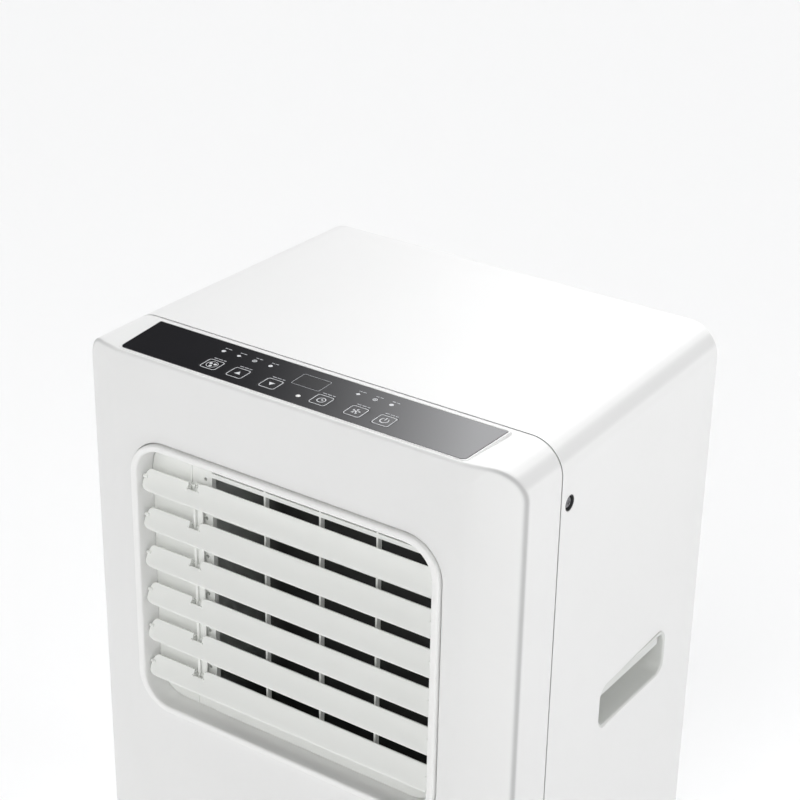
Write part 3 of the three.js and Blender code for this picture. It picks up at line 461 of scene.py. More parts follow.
def front_y(x, z):
    """The flat centre and the two wings, as one smooth surface."""
    t = (TOP - z) / (TOP - SKIRT_Z)
    c = CREASE_TOP + (CREASE_BOTTOM - CREASE_TOP) * t
    slope = (RIDGE_Y + 5 * 0.56 - FACE) / (HALF_W + 5 - c)
    w = 2.6
    u = (abs(x) - c) / w
    sp = w * (u if u > 30 else math.log1p(math.exp(u)))
    run = max(0.0, abs(x) - c)
    sp = 0.5 * sp + 0.5 * run * run / (HALF_W + 5 - c)
    return SY(FACE + slope * sp)


def section_points(inset):
    """The cabinet section, walked like ring_points, with square lower corners."""
    n_half, n_side, n_top, n_arc = COUNTS
    x, zt, zb, r = HALF_W - inset, TOP - inset, SKIRT_Z, max(CORNER_R - inset, 0.5)
    pts = []

    def line(a, b, n):
        for i in range(n):
            t = i / n
            pts.append((a[0] + (b[0] - a[0]) * t, a[1] + (b[1] - a[1]) * t))

    line((0, zb), (x - 12, zb), n_half)
    line((x - 12, zb), (x, zb), n_arc // 2)
    line((x, zb), (x, zb + 12), n_arc - n_arc // 2)
    line((x, zb + 12), (x, zt - r), n_side)
    for i in range(n_arc):
        a = math.radians(90 * i / n_arc)
        pts.append((x - r + r * math.cos(a), zt - r + r * math.sin(a)))
    line((x - r, zt), (-x + r, zt), n_top)
    for i in range(n_arc):
        a = math.radians(90 + 90 * i / n_arc)
        pts.append((-x + r + r * math.cos(a), zt - r + r * math.sin(a)))
    line((-x, zt - r), (-x, zb + 12), n_side)
    line((-x, zb + 12), (-x, zb), n_arc - n_arc // 2)
    line((-x, zb), (-x + 12, zb), n_arc // 2)
    line((-x + 12, zb), (0, zb), n_half)
    return pts


def front_housing():
    r = 2.8                      # ridge radius
    n_fillet, n_inner = 7, 46
    # inset rings of the section: the fillet, then a blend into the outlet outline
    rings = []
    outer = section_points(0)
    n = len(outer)
    skirt = [abs(p[1] - SKIRT_Z) < 1e-6 for p in outer]
    verts, faces, shade = [], [], []

    def add_ring(points, ys, e=0.0):
        base = len(verts)
        for (x, z), y in zip(points, ys):
            verts.append((x, y, z))
            # painted shade weight for the ridge: full down the sides, faint across the top front
            side = min(1.0, max(0.0, (abs(x) - 178.0) / 24.0))
            shade.append(e * (0.16 + 0.84 * side))
        rings.append(base)

    # fillet rings, d goes from 0 to r; each ring also gets a painted shade weight for the ridge, darkest mid-fillet
    for k in range(n_fillet + 1):
        a = math.radians(90 * k / n_fillet)
        d, drop = r * (1 - math.cos(a)), r * (1 - math.sin(a))
        pts = section_points(d)
        add_ring(pts, [front_y(*p) + (drop if not s else 0.0) for p, s in zip(pts, skirt)], math.sin(math.pi * (k + 0.8) / (n_fillet + 1.6)) ** 1.4)
    lip = ring_points(*hole_outline(0.9), COUNTS)
    inner_section = section_points(r)
    for k in range(1, n_inner + 1):
        t = k / n_inner
        e = t ** 1.08
        pts = [(p[0] + (q[0] - p[0]) * e, p[1] + (q[1] - p[1]) * e) for p, q in zip(inner_section, lip)]
        add_ring(pts, [front_y(*p) for p in pts])
    for a, b in zip(rings, rings[1:]):
        for i in range(n):
            j = (i + 1) % n
            faces.append((a + i, a + j, b + j, b + i))
    # side band, from the ridge back to the seam, open along the bottom
    first = rings[0]
    bands = []
    seam = SY(-SEAM_GAP / 2)
    levels = [0.05, 0.35, 0.7, 0.93]
    for f in levels:
        base = len(verts)
        for i, (x, z) in enumerate(outer):
            y0 = verts[first + i][1]
            verts.append((x, y0 + (seam - 0.5 - y0) * f, z))
            shade.append(0.0)
        bands.append(base)
    for dy, inset in ((0.5, 0.0), (0.15, 0.15), (0.0, 0.5)):
        base = len(verts)
        for i, (x, z) in enumerate(section_points(inset)):
            verts.append((x, seam - dy, z))
            shade.append(0.0)
        bands.append(base)
    chain = [first] + bands
    for a, b in zip(chain, chain[1:]):
        for i in range(n):
            j = (i + 1) % n
            if skirt[i] and skirt[j]:
                continue
            faces.append((a + i, a + j, b + j, b + i))
    me = bpy.data.meshes.new("front_cover")
    me.from_pydata([(x * MM, y * MM, z * MM) for x, y, z in verts], [], faces)
    # the painted ridge shade is stored as the "edge" attribute
    me.attributes.new("edge", "FLOAT", "POINT").data.foreach_set("value", shade)
    ob = bpy.data.objects.new("front_cover", me)
    COL.objects.link(ob)
    bm = bmesh.new()
    bm.from_mesh(me)
    loose = [v for v in bm.verts if not v.link_faces]
    bmesh.ops.delete(bm, geom=loose, context="VERTS")
    bmesh.ops.remove_doubles(bm, verts=bm.verts, dist=1e-6)
    bmesh.ops.recalc_face_normals(bm, faces=bm.faces)
    probe = max(bm.faces, key=lambda f: -f.calc_center_median().y)
    if probe.normal.y > 0:
        bmesh.ops.reverse_faces(bm, faces=bm.faces)
    bm.to_mesh(me)
    bm.free()
    paint(ob, "front_abs")
    md = ob.modifiers.new("wall", "SOLIDIFY")
    md.thickness = 2.2 * MM
    md.offset = -1.0
    md.use_even_offset = False
    bake(ob)
    # wells that the key caps travel in
    wells = []
    for k, x in enumerate(KEY_X):
        g = KEY_SIDE / 2 + 0.5
        y = SY(KEY_Y)
        wells.append(prism(f"cut_key_{k}", "z", rounded(x - g, x + g, y - g, y + g, 2.2, 6), TZ(-9), TZ(6)))
    boolean(ob, wells, solver="FAST")
    soft(ob, 50)
    for v in ob.data.vertices:
        v.co.z = SKIRT_Z * MM if v.co.z < (SKIRT_Z + 1.8) * MM else min(TOP * MM, v.co.z)
        v.co.x = max(-HALF_W * MM, min(HALF_W * MM, v.co.x))
    return stand_for(ob, "front_housing")


front_cover = front_housing()


# ---------------------------------------------------------------- rear shell
def arch(half, z0, z1, r, n=18):
    """Open section: up the right side, over the top, down the left side."""
    pts = [(half, z0), (half, z0 + 12), (half, (z0 + z1) / 2)]
    pts += [(half - r + r * math.cos(math.radians(90 * i / n)), z1 - r + r * math.sin(math.radians(90 * i / n))) for i in range(n + 1)]
    pts += [(0, z1)]
    pts += [(-half + r + r * math.cos(math.radians(90 + 90 * i / n)), z1 - r + r * math.sin(math.radians(90 + 90 * i / n))) for i in range(n + 1)]
    pts += [(-half, (z0 + z1) / 2), (-half, z0 + 12), (-half, z0)]
    return pts


def arch_shell(name, stations, key="white_abs", thickness=2.6):
    """stations: (y, inset) along the cabinet; the section follows the draft."""
    verts, faces = [], []
    n = None
    for y, inset in stations:
        t = max((y - SEAM_Y) / BACK, 0)
        k = 1 - BACK_DRAFT * t / HALF_W
        pts = arch(HALF_W - inset, SKIRT_Z, TOP - inset, CORNER_R - min(inset, 20))
        n = len(pts)
        verts += [(x * k, y, z) for x, z in pts]
    for a in range(len(stations) - 1):
        for i in range(n - 1):
            faces.append((a * n + i, a * n + i + 1, (a + 1) * n + i + 1, (a + 1) * n + i))
    me = bpy.data.meshes.new(name)
    me.from_pydata([(x * MM, y * MM, z * MM) for x, y, z in verts], [], faces)
    ob = bpy.data.objects.new(name, me)
    COL.objects.link(ob)
    bm = bmesh.new()
    bm.from_mesh(me)
    bmesh.ops.recalc_face_normals(bm, faces=bm.faces)
    probe = max(bm.faces, key=lambda f: f.calc_center_median().z)
    if probe.normal.z < 0:
        bmesh.ops.reverse_faces(bm, faces=bm.faces)
    bm.to_mesh(me)
    bm.free()
    paint(ob, key)
    md = ob.modifiers.new("wall", "SOLIDIFY")
    md.thickness = thickness * MM
    md.offset = -1.0
    md.use_even_offset = False
    return bake(ob)


HANDLE_Z, HANDLE_Y, HANDLE_L, HANDLE_H = 405.0, SY(150), 118.0, 44.0
SCREW_Y, SCREW_Z = SY(14.2), TZ(-56.3)


def rear():
    y0, y1 = SY(SEAM_GAP / 2), SY(BACK)
    ob = arch_shell("rear_cover", [(y0, 0.5), (y0 + 0.15, 0.15), (y0 + 0.5, 0.0), (SY(60), 0), (SY(150), 0), (SY(230), 0),
                                   (y1 - 3.0, 0), (y1 - 1.5, 0.4), (y1 - 0.4, 1.5), (y1, 2.6)])
    cuts = []
    for side in (-1, 1):
        o = rounded(HANDLE_Y - HANDLE_L / 2, HANDLE_Y + HANDLE_L / 2, HANDLE_Z - HANDLE_H / 2, HANDLE_Z + HANDLE_H / 2, 12, 10)
        a, b = sorted((side * 196, side * 235))
        cuts.append(prism(f"cut_handle_{side}", "x", o, a, b))
        cuts.append(prism(f"cut_screw_{side}", "x", disc(SCREW_Y, SCREW_Z, 7.0, 40), *sorted((side * 200, side * 235))))
    boolean(ob, cuts)
    bevel(ob, 0.5, 3, 50)
    for v in ob.data.vertices:
        v.co.x = max(-HALF_W * MM, min(HALF_W * MM, v.co.x))
        v.co.y = max(y0 * MM, v.co.y)
        v.co.z = max(SKIRT_Z * MM, v.co.z)
    soft(ob, 45)
    stand_for(ob, "rear_shell")
    for side, label in ((1, "right"), (-1, "left")):
        # screw cup behind the skin: a short cup with a floor round the screw
        prof = [(2.6, 0.0), (8.6, 0.0), (8.6, 7.0), (6.9, 7.0), (6.9, 9.7), (6.1, 9.7), (6.1, 4.6), (2.6, 4.6)]
        prof = [(r, side * (206.6 + h)) for r, h in prof]
        cup = lathe(f"screw_cup_{label}", rounded_profile(prof, 0.3, 2), "x", SCREW_Y, SCREW_Z, "cup_grey", 48)
        soft(cup, 40)
        trim(cup, "root")


rear()

# a tongue behind the seam, which keeps the light out of the joint
tongue = arch_shell("seam_tongue", [(SY(-9), 2.75), (SY(9), 2.75)], "grey_abs", 1.4)
soft(tongue)
trim(tongue, "root")


# ---------------------------------------------------------------- side screws
def screw(node, side):
    prof = [(0.0, 200.0), (2.1, 200.0), (2.1, 211.4), (4.9, 211.4), (4.9, 213.5), (4.5, 214.5), (3.4, 215.2), (1.8, 215.6), (0.0, 215.7)]
    ob = lathe(node + "_head", [(r, side * h) for r, h in prof], "x", SCREW_Y, SCREW_Z, "screw_steel", 40)
    a, b = sorted((side * 214.2, side * 217.5))
    cut = [block("slot_a", a, b, SCREW_Y - 2.6, SCREW_Y + 2.6, SCREW_Z - 0.55, SCREW_Z + 0.55),
           block("slot_b", a, b, SCREW_Y - 0.55, SCREW_Y + 0.55, SCREW_Z - 2.6, SCREW_Z + 2.6)]
    boolean(ob, cut)
    soft(ob, 35)
    stand_for(ob, node)


screw("side_screw_right", 1)
screw("side_screw_left", -1)


# ---------------------------------------------------------------- side handles
def handle(node, side):
    skin = HALF_W - BACK_DRAFT * 150 / BACK - 0.6

    def o(i, n=10):
        return rounded(HANDLE_Y - HANDLE_L / 2 + i, HANDLE_Y + HANDLE_L / 2 - i, HANDLE_Z - HANDLE_H / 2 + i, HANDLE_Z + HANDLE_H / 2 - i, 12 - i * 0.5, n)

    # bezel, draft walls and dished floor as one lofted cup: outside skin first, then the inside
    path = [(-0.9, -0.2), (-0.9, 0.7), (-0.3, 1.1), (0.9, 1.1), (1.7, 0.6), (2.3, -0.6), (3.6, -24.0), (5.2, -26.6), (9.5, -27.4)]
    back = [(9.5, -29.8), (3.6, -29.4), (1.4, -27.0), (0.5, -3.6)]
    rings = [[(side * (skin + h), a, b) for a, b in o(i)] for i, h in path]
    rest = [[(side * (skin + h), a, b) for a, b in o(i)] for i, h in back]
    n = len(rings[0])
    verts = [p for r in rings + rest for p in r]
    faces = []
    order = list(range(len(rings) + len(rest)))
    for k in range(len(order)):
        if k == len(path) - 1:
            continue
        a, b = order[k] * n, order[(k + 1) % len(order)] * n
        for i in range(n):
            j = (i + 1) % n
            faces.append((a + i, a + j, b + j, b + i))
    faces.append(tuple(range((len(path) - 1) * n, len(path) * n)))
    faces.append(tuple(range(len(path) * n, (len(path) + 1) * n)))
    ob = make(node + "_cup", verts, faces, "grey_abs")
    soft(ob, 50)
    stand_for(ob, node)
    # grip lip inside the upper edge
    prof = [(-6.0, 21.0), (-1.6, 21.0), (-1.6, 9.6), (-3.8, 8.6), (-6.0, 9.6)]
    ring = []
    for y in (HANDLE_Y - 50, HANDLE_Y - 46, HANDLE_Y, HANDLE_Y + 46, HANDLE_Y + 50):
        ring.append([(side * (skin + h), y, HANDLE_Z + z) for h, z in prof])
    lip = loft(node + "_grip", ring, "grey_abs")
    bevel(lip, 0.8, 3, 40)
    soft(lip, 40)
    trim(lip, "root")


handle("side_handle_right", 1)
handle("side_handle_left", -1)


# ---------------------------------------------------------------- outlet frame
def outlet_frame():
    prof = [(4.6, 5.6), (4.6, 3.6), (1.2, 3.6), (0.2, 3.2), (-0.15, 2.4), (-0.15, -2.6), (-0.3, -3.4), (-0.75, -4.05), (-1.5, -4.45), (-2.5, -4.6),
            (-4.6, -4.6), (-5.5, -4.45), (-6.3, -4.05), (-6.8, -3.4), (-7.0, -2.4), (-7.0, 12.0), (-7.0, 30.0), (-7.0, DUCT_DEPTH),
            (-4.6, DUCT_DEPTH), (-4.6, 5.6)]
    rings = []
    for o, y in prof:
        x, zt, zb, r = hole_outline(o)
        pts = ring_points(x, zt, zb, r, COUNTS)
        rings.append([(a, SY(FACE) + y, b) for a, b in pts])
    n = len(rings[0])
    verts = [p for r in rings for p in r]
    faces = []
    for k in range(len(rings)):
        a, b = k * n, ((k + 1) % len(rings)) * n
        for i in range(n):
            j = (i + 1) % n
            faces.append((a + i, a + j, b + j, b + i))
    ob = make("outlet_bezel", verts, faces, "bezel_abs")
    soft(ob, 50)
    stand_for(ob, "outlet_frame")


outlet_frame()
PIVOT_Y = SY(FACE + LOUVRE_DEPTH)


def pivot_z(i):
    return TZ(LOUVRE_Z - i * LOUVRE_PITCH)


def cup_of(name, path, back, key):
    """A thin open cup: path goes down the inside to the floor, back comes up the outside."""
    rows = path + back
    n = len(rows[0])
    verts = [p for r in rows for p in r]
    faces = []
    for k in range(len(rows)):
        if k == len(path) - 1:
            continue
        a, b = k * n, ((k + 1) % len(rows)) * n
        for i in range(n):
            j = (i + 1) % n
            faces.append((a + i, a + j, b + j, b + i))
    faces.append(tuple(range((len(path) - 1) * n, len(path) * n)))
    faces.append(tuple(range(len(path) * n, (len(path) + 1) * n)))
    return make(name, verts, faces, key)


def air_duct():
    """Dark plenum that brings the air to the outlet."""
    def row(o, y):
        return [(a, y, b) for a, b in ring_points(*hole_outline(o), COUNTS)]

    ob = cup_of("air_duct", [row(-6.4, SY(-27.0)), row(-9.5, SY(-12)), row(-16, SY(18)), row(-22, SY(25)), row(-30, SY(26.5))],
                [row(-30, SY(28.4)), row(-18, SY(27.0)), row(-13, SY(18)), row(-7.4, SY(-12)), row(-4.8, SY(-27.0))], "duct_black")
    soft(ob, 50)
    trim(ob, "root")


air_duct()


# ---------------------------------------------------------------- louvre blades
LEFT_END = [(-147.7, -7.4, -3.2), (-147.45, -8.4, -1.4), (-147.0, -9.3, 0.8), (-146.4, -10.0, 3.0), (-145.6, -10.6, 4.9), (-144.6, -11.1, 6.2),
            (-143.4, -11.5, 7.0), (-142.0, -11.8, 7.4), (-140.2, -12.0, 7.5), (-137.5, -12.1, 7.5)]


def left_end(x, which):
    for p, q in zip(LEFT_END, LEFT_END[1:]):
        if x <= q[0]:
            t = max(0.0, (x - p[0]) / (q[0] - p[0]))
            return p[which] + (q[which] - p[which]) * t
    return LEFT_END[-1][which]


def top_edge(x):
    """Upper edge of a blade along its length, from the pivot."""
    if x < LINK_X - 5.2:
        return left_end(x, 2) + (0.3 * (x + 137.5) / 34.5 if x > -137.5 else 0.0)
    if x < LINK_X + 5.2:
        return 2.2
    if x < LINK_X + 13:
        t = (x - LINK_X - 5.2) / 7.8
        return 8.6 + (BLADE_UP - 8.6) * math.sin(t * math.pi / 2)
    return BLADE_UP


def low_edge(x):
    return left_end(x, 1)


def blade_section(x):
    """(depth, height) outline: a rolled nose below, a thin upper edge, a slight hollow in the face."""
    up, low = top_edge(x), low_edge(x)
    h = up - low
    left, right = [], []
    n = 10
    for k in range(n + 1):
        t = k / n
        u = low + 1.5 + (h - 2.2) * t
        g = (u + BLADE_DOWN) / (BLADE_UP + BLADE_DOWN)
        camber = 0.55 * math.sin(min(1.0, max(0.0, g)) * math.pi)
        half = 1.25 - 0.35 * g
        left.append((-half + camber, u))
        right.append((half + camber, u))
    nose = []
    for k in range(1, 6):
        a = math.pi + math.pi * k / 6
        nose.append((1.25 * math.cos(a) + left[0][0] + 1.25, low + 1.5 + 1.5 * math.sin(a)))
    cap = []
    c = (left[-1][0] + right[-1][0]) / 2
    w = (right[-1][0] - left[-1][0]) / 2
    for k in range(1, 5):
        a = math.pi * k / 5
        cap.append((c + w * math.cos(a), left[-1][1] + 0.7 * math.sin(a)))
    return left[::-1] + nose + right + cap


def blade(i):
    lean = math.radians(-LOUVRE_LEAN)
    cs, sn = math.cos(lean), math.sin(lean)
    xs = [p[0] for p in LEFT_END] + [-136, -133, -130, -122, -114, -107, LINK_X - 5.9, LINK_X - 5.25, LINK_X - 5.15, LINK_X - 3, LINK_X + 3, LINK_X + 5.15, LINK_X + 5.25,
          LINK_X + 6.6, LINK_X + 8.4, LINK_X + 10.5, LINK_X + 13, -60, -30, 0, 30, 60, 90, 120, 140, BLADE_W - 0.8, BLADE_W - 0.25, BLADE_W]
    rings = []
    for x in xs:
        e = min(abs(x + BLADE_W), abs(BLADE_W - x))
        pinch = 1.0 if e > 1.2 else 0.4 + 0.6 * math.sqrt(max(0.0, 1 - (1 - e / 1.2) ** 2))
        ring = []
        for v, u in blade_section(x):
            v = v * pinch
            # lean the drawn blade about the pivot
            y = v * cs - u * sn
            z = v * sn + u * cs
            ring.append((x, PIVOT_Y + y, pivot_z(i) + z))
        rings.append(ring)
    ob = loft(f"blade_{i + 1}", rings, "louvre_abs")
    soft(ob, 38)
    name = f"louvre_{i + 1}"
    stand_for(ob, name)
    # pivot pins at both ends, and the two ears with the link pin
    for s, label in ((-1, "l"), (1, "r")):
        a, b = sorted((s * 144.0, s * 148.5))
        pin = lathe(f"pin_{label}{i + 1}", [(0.0, a), (1.5, a), (1.5, b), (0.0, b)], "x", PIVOT_Y, pivot_z(i), "louvre_abs", 24)
        soft(pin, 40)
        trim(pin, name)
    ear = [(-0.4, -2.6), (CRANK + 1.2, -2.2)]
    ear += [(CRANK + 1.2 + 1.9 * math.sin(math.radians(a)), -2.2 * math.cos(math.radians(a))) for a in range(20, 180, 20)]
    ear += [(CRANK + 1.2, 2.2), (-0.4, 2.6)]
    for s, label in ((-1, "a"), (1, "b")):
        a, b = sorted((LINK_X + s * 5.0, LINK_X + s * 6.8))
        e = prism(f"ear_{label}{i + 1}", "x", [(PIVOT_Y + p, pivot_z(i) + q) for p, q in ear], a, b, "louvre_abs")
        bevel(e, 0.3, 2, 40)
        soft(e, 40)
        trim(e, name)
    pin = lathe(f"link_pin_{i + 1}", [(0.0, LINK_X - 6), (1.2, LINK_X - 6), (1.2, LINK_X + 6), (0.0, LINK_X + 6)], "x", PIVOT_Y + CRANK, pivot_z(i), "louvre_abs", 20)
    soft(pin, 40)
    trim(pin, name)


for i in range(LOUVRES):
    blade(i)


def link_bar():
    """An upright rib with a recessed web, and a knuckle round each pin."""
    y = PIVOT_Y + CRANK
    z0, z1 = pivot_z(LOUVRES - 1) - 4.5, pivot_z(0) + 4.5
    prof = [(-4.1, -2.2), (-1.5, -2.2), (-1.5, 0.5), (4.1, 0.5), (4.1, 2.2), (-4.1, 2.2)]
    ob = prism("link_bar", "z", [(LINK_X + a, y + b) for a, b in prof], z0, z1, "louvre_abs")
    bevel(ob, 0.45, 2, 40)
    soft(ob, 40)
    stand_for(ob, "louvre_link")
    for i in range(LOUVRES):
        k = lathe(f"link_knuckle_{i + 1}", rounded_profile([(1.35, LINK_X - 1.4), (2.15, LINK_X - 1.4), (2.15, LINK_X + 4.1), (1.35, LINK_X + 4.1)], 0.25, 2),
                  "x", y, pivot_z(i), "louvre_abs", 24)
        soft(k, 40)
        trim(k, "louvre_link")


link_bar()


# ---------------------------------------------------------------- control strip
SLOPE = (STRIP_RISE_BACK - STRIP_RISE_FRONT) / (STRIP_BACK - STRIP_FRONT)


def strip_z(s):
    return TZ(STRIP_RISE_FRONT + (s - STRIP_FRONT) * SLOPE)


def sloped(name, outline, z_low, key, lift=0.0):
    """A plate whose top follows the strip's slope; outline in (x, s)."""
    n = len(outline)
    verts = [(x, SY(s), z_low) for x, s in outline] + [(x, SY(s), strip_z(s) + lift) for x, s in outline]
    faces = [tuple(range(n)), tuple(range(n, 2 * n))] + [(i, (i + 1) % n, n + (i + 1) % n, n + i) for i in range(n)]
    return make(name, verts, faces, key)


def strip_outline(o, r=None, n=7):
    """The strip's trapezium, o millimetres outside its edge: small radii behind, larger ones in front."""
    pts = [(-STRIP_W_BACK - o, STRIP_BACK + o), (-STRIP_W_FRONT - o, STRIP_FRONT - o),
           (STRIP_W_FRONT + o, STRIP_FRONT - o), (STRIP_W_BACK + o, STRIP_BACK + o)]
    radii = [1.6, 5.0, 5.0, 1.6]
    out = []
    for k in range(4):
        p0, p1, p2 = (Vector(pts[(k + d) % 4]) for d in (-1, 0, 1))
        a, b = (p0 - p1).normalized(), (p2 - p1).normalized()
        s, e = p1 + a * radii[k], p1 + b * radii[k]
        for t in range(n + 1):
            u = t / n
            v = s * (1 - u) ** 2 + p1 * (2 * u * (1 - u)) + e * u * u
            out.append((v.x, v.y))
    return out


def strip():
    ob = sloped("control_panel", strip_outline(0.0, 2.0), TZ(-0.9), "strip_black")
    cuts = []
    for x in KEY_X:
        h = KEY_SIDE / 2 + 0.22
        cuts.append(prism(f"cut_key_{x}", "z", [(a, SY(b)) for a, b in rounded(x - h, x + h, KEY_Y - h, KEY_Y + h, 2.1, 6)], TZ(-5), TZ(9)))
    cuts.append(prism("cut_window", "z", [(a, SY(b)) for a, b in rounded(0.6 - 13.15, 0.6 + 13.15, -29.8 - 8.65, -29.8 + 8.65, 1.1, 4)], TZ(-5), TZ(9)))
    cuts.append(prism("cut_ir", "z", [(a, SY(b)) for a, b in disc(5.5, -54.0, 2.1, 28)], TZ(-5), TZ(9)))
    boolean(ob, cuts)
    bevel(ob, 0.16, 2, 50)
    soft(ob, 40)
    stand_for(ob, "control_strip")
    # low rim moulded round the strip
    n_ring = None
    prof = [(0.35, -1.0, None), (0.35, None, -0.25), (0.75, None, 0.12), (1.3, None, 0.16), (1.9, None, -0.1), (2.3, None, -0.7), (2.45, -1.0, None)]
    rings = []
    for o, z, lift in prof:
        ring = []
        for x, s in strip_outline(o, 2.4):
            s2 = max(s, STRIP_FRONT - 1.4 - max(0.0, o - 1.4) * 0.15)
            top = strip_z(s2) + (lift if lift is not None else 0)
            ring.append((x, SY(s2), max(TZ(-1.0), top) if z is None else TZ(z)))
        rings.append(ring)
    n = len(rings[0])
    verts = [p for r in rings for p in r]
    faces = []
    for k in range(len(rings)):
        a, b = k * n, ((k + 1) % len(rings)) * n
        for i in range(n):
            j = (i + 1) % n
            faces.append((a + i, a + j, b + j, b + i))
    rim = make("panel_rim", verts, faces, "white_abs")
    soft(rim, 60)
    trim(rim, "root")


strip()

for x, node in zip(KEY_X, KEY_NAMES):
    h = KEY_SIDE / 2
    cap = sloped(node + "_cap", rounded(x - h, x + h, KEY_Y - h, KEY_Y + h, 1.9, 6), TZ(-3.6), "key_black")
    bevel(cap, 0.14, 2, 50)
    soft(cap, 40)
    stand_for(cap, node)

window = sloped("window_lens", rounded(0.6 - 13, 0.6 + 13, -29.8 - 8.5, -29.8 + 8.5, 1.0, 4), TZ(-3.0), "window")
bevel(window, 0.14, 2, 50)
soft(window, 40)
stand_for(window, "display_window")

rings = []
for r, lift in ((2.0, -3.0), (2.0, -0.05), (1.9, 0.12), (1.6, 0.26), (1.1, 0.36), (0.5, 0.41)):
    rings.append([(x, SY(s), strip_z(s) + lift) for x, s in disc(5.5, -54.0, r, 28)])
ir = loft("ir_dome", rings, "ir")
soft(ir, 50)
stand_for(ir, "ir_lens")


# printed marks: thin raised ink, built as closed plates
def ink(name, shapes, body, key="print"):
    verts, faces = [], []
    for outline, hole in shapes:
        base = len(verts)
        n = len(outline)
        for lift in (-0.02, 0.035):
            verts += [(x, SY(s), strip_z(s) + lift) for x, s in outline]
        if hole is None:
            faces += [tuple(base + i for i in range(n)), tuple(base + n + i for i in range(n))]
            faces += [(base + i, base + (i + 1) % n, base + n + (i + 1) % n, base + n + i) for i in range(n)]
        else:
            hb = len(verts)
            for lift in (-0.02, 0.035):
                verts += [(x, SY(s), strip_z(s) + lift) for x, s in hole]
            for i in range(n):
                j = (i + 1) % n
                faces += [(base + i, base + j, base + n + j, base + n + i), (hb + i, hb + j, hb + n + j, hb + n + i),
                          (base + n + i, base + n + j, hb + n + j, hb + n + i), (base + i, base + j, hb + j, hb + i)]
    me = bpy.data.meshes.new(name)
    me.from_pydata([(x * MM, y * MM, z * MM) for x, y, z in verts], [], faces)
    ob = bpy.data.objects.new(name, me)
    COL.objects.link(ob)
    bm = bmesh.new()
    bm.from_mesh(me)
    bmesh.ops.recalc_face_normals(bm, faces=bm.faces)
    bm.to_mesh(me)
    bm.free()
    paint(ob, key)
    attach(ob, body)
    return ob


def ring_mark(cx, cy, r, w, n=28):
    return (disc(cx, cy, r, n), disc(cx, cy, r - w, n))


def bar(x0, x1, y0, y1):
    return ([(x0, y0), (x1, y0), (x1, y1), (x0, y1)], None)


def poly(points):
    return (points, None)


def stroke(p, q, w):
    d = Vector((q[0] - p[0], q[1] - p[1])).normalized() * (w / 2)
    nx, ny = -d.y, d.x
    return poly([(p[0] + nx, p[1] + ny), (q[0] + nx, q[1] + ny), (q[0] - nx, q[1] - ny), (p[0] - nx, p[1] - ny)])


def arc_band(cx, cy, r, w, a0, a1, n=20):
    """A C-shaped band, as one closed outline."""
    out = [(cx + r * math.cos(math.radians(a0 + (a1 - a0) * i / n)), cy + r * math.sin(math.radians(a0 + (a1 - a0) * i / n))) for i in range(n + 1)]
    inn = [(cx + (r - w) * math.cos(math.radians(a0 + (a1 - a0) * i / n)), cy + (r - w) * math.sin(math.radians(a0 + (a1 - a0) * i / n))) for i in range(n + 1)]
    return poly(out + inn[::-1])


for x, node in zip(KEY_X, KEY_NAMES):
    h = KEY_SIDE / 2 - 0.45
    w = 0.62
    frame_mark = (rounded(x - h, x + h, KEY_Y - h, KEY_Y + h, 2.6, 6), rounded(x - h + w, x + h - w, KEY_Y - h + w, KEY_Y + h - w, 2.6 - w, 6))
    marks = [frame_mark]
    cy = KEY_Y
    if node == "key_mode":
        for a in (30, 150, 270):
            ca, sa = math.cos(math.radians(a)), math.sin(math.radians(a))
            marks.append(poly(disc(x + 2.5 * ca, cy + 2.5 * sa, 1.45, 16)))
        marks.append(ring_mark(x, cy, 5.2, 0.5))
    elif node == "key_up":
        marks.append(poly([(x - 2.9, cy - 1.9), (x + 2.9, cy - 1.9), (x, cy + 2.6)]))
    elif node == "key_down":
        marks.append(poly([(x + 2.9, cy + 1.9), (x - 2.9, cy + 1.9), (x, cy - 2.6)]))
    elif node == "key_timer":
        marks += [ring_mark(x, cy, 3.9, 0.75), stroke((x, cy - 0.2), (x, cy + 2.4), 0.7), stroke((x - 0.2, cy), (x + 2.0, cy), 0.7)]
    elif node == "key_fan":
        for a in range(0, 360, 72):
            ca, sa = math.cos(math.radians(a)), math.sin(math.radians(a))
            tip = (x + 4.2 * ca, cy + 4.2 * sa)
            side = (x + 3.4 * math.cos(math.radians(a + 34)), cy + 3.4 * math.sin(math.radians(a + 34)))
            marks.append(poly([(x + 1.0 * ca, cy + 1.0 * sa), tip, side]))
        marks.append(poly(disc(x, cy, 0.9, 14)))
    else:
        marks += [arc_band(x, cy, 3.9, 0.8, 125, 415), stroke((x, cy + 0.6), (x, cy + 4.4), 0.8)]
    ink(node + "_print", marks, node)

# neutral bars where the legends are, and the indicator marks
shapes = []
for x in KEY_X:
    y = KEY_Y + KEY_SIDE / 2 + 2.3
    for a, b in ((-6.2, -2.2), (-1.4, 2.6), (3.4, 6.2)):
        shapes.append(bar(x + a, x + b, y - 0.5, y + 0.5))
ink("legend_bars", shapes, "root", "print_dim")
LEDS = [-93.1, -77.1, -60.8, -44.5, 42.9, 59.4, 75.0]
shapes = []
for k, x in enumerate(LEDS):
    y = -25.1
    if k % 3 == 0:
        shapes.append(poly(disc(x, y, 1.9, 20)))
    elif k % 3 == 1:
        shapes.append(poly([(x - 2.2, y), (x, y - 1.9), (x + 2.2, y), (x, y + 1.9)]))
    else:
        shapes += [ring_mark(x, y, 2.1, 0.7, 20), poly(disc(x, y, 0.7, 12))]
ink("indicator_marks", shapes, "root")
shapes = []
for x in LEDS:
    y = -20.0
    for a, b in ((-3.4, -0.6), (0.2, 3.4)):
        shapes.append(bar(x + a + 1.2, x + b + 1.2, y - 0.45, y + 0.45))
ink("indicator_bars", shapes, "root", "print_dim")
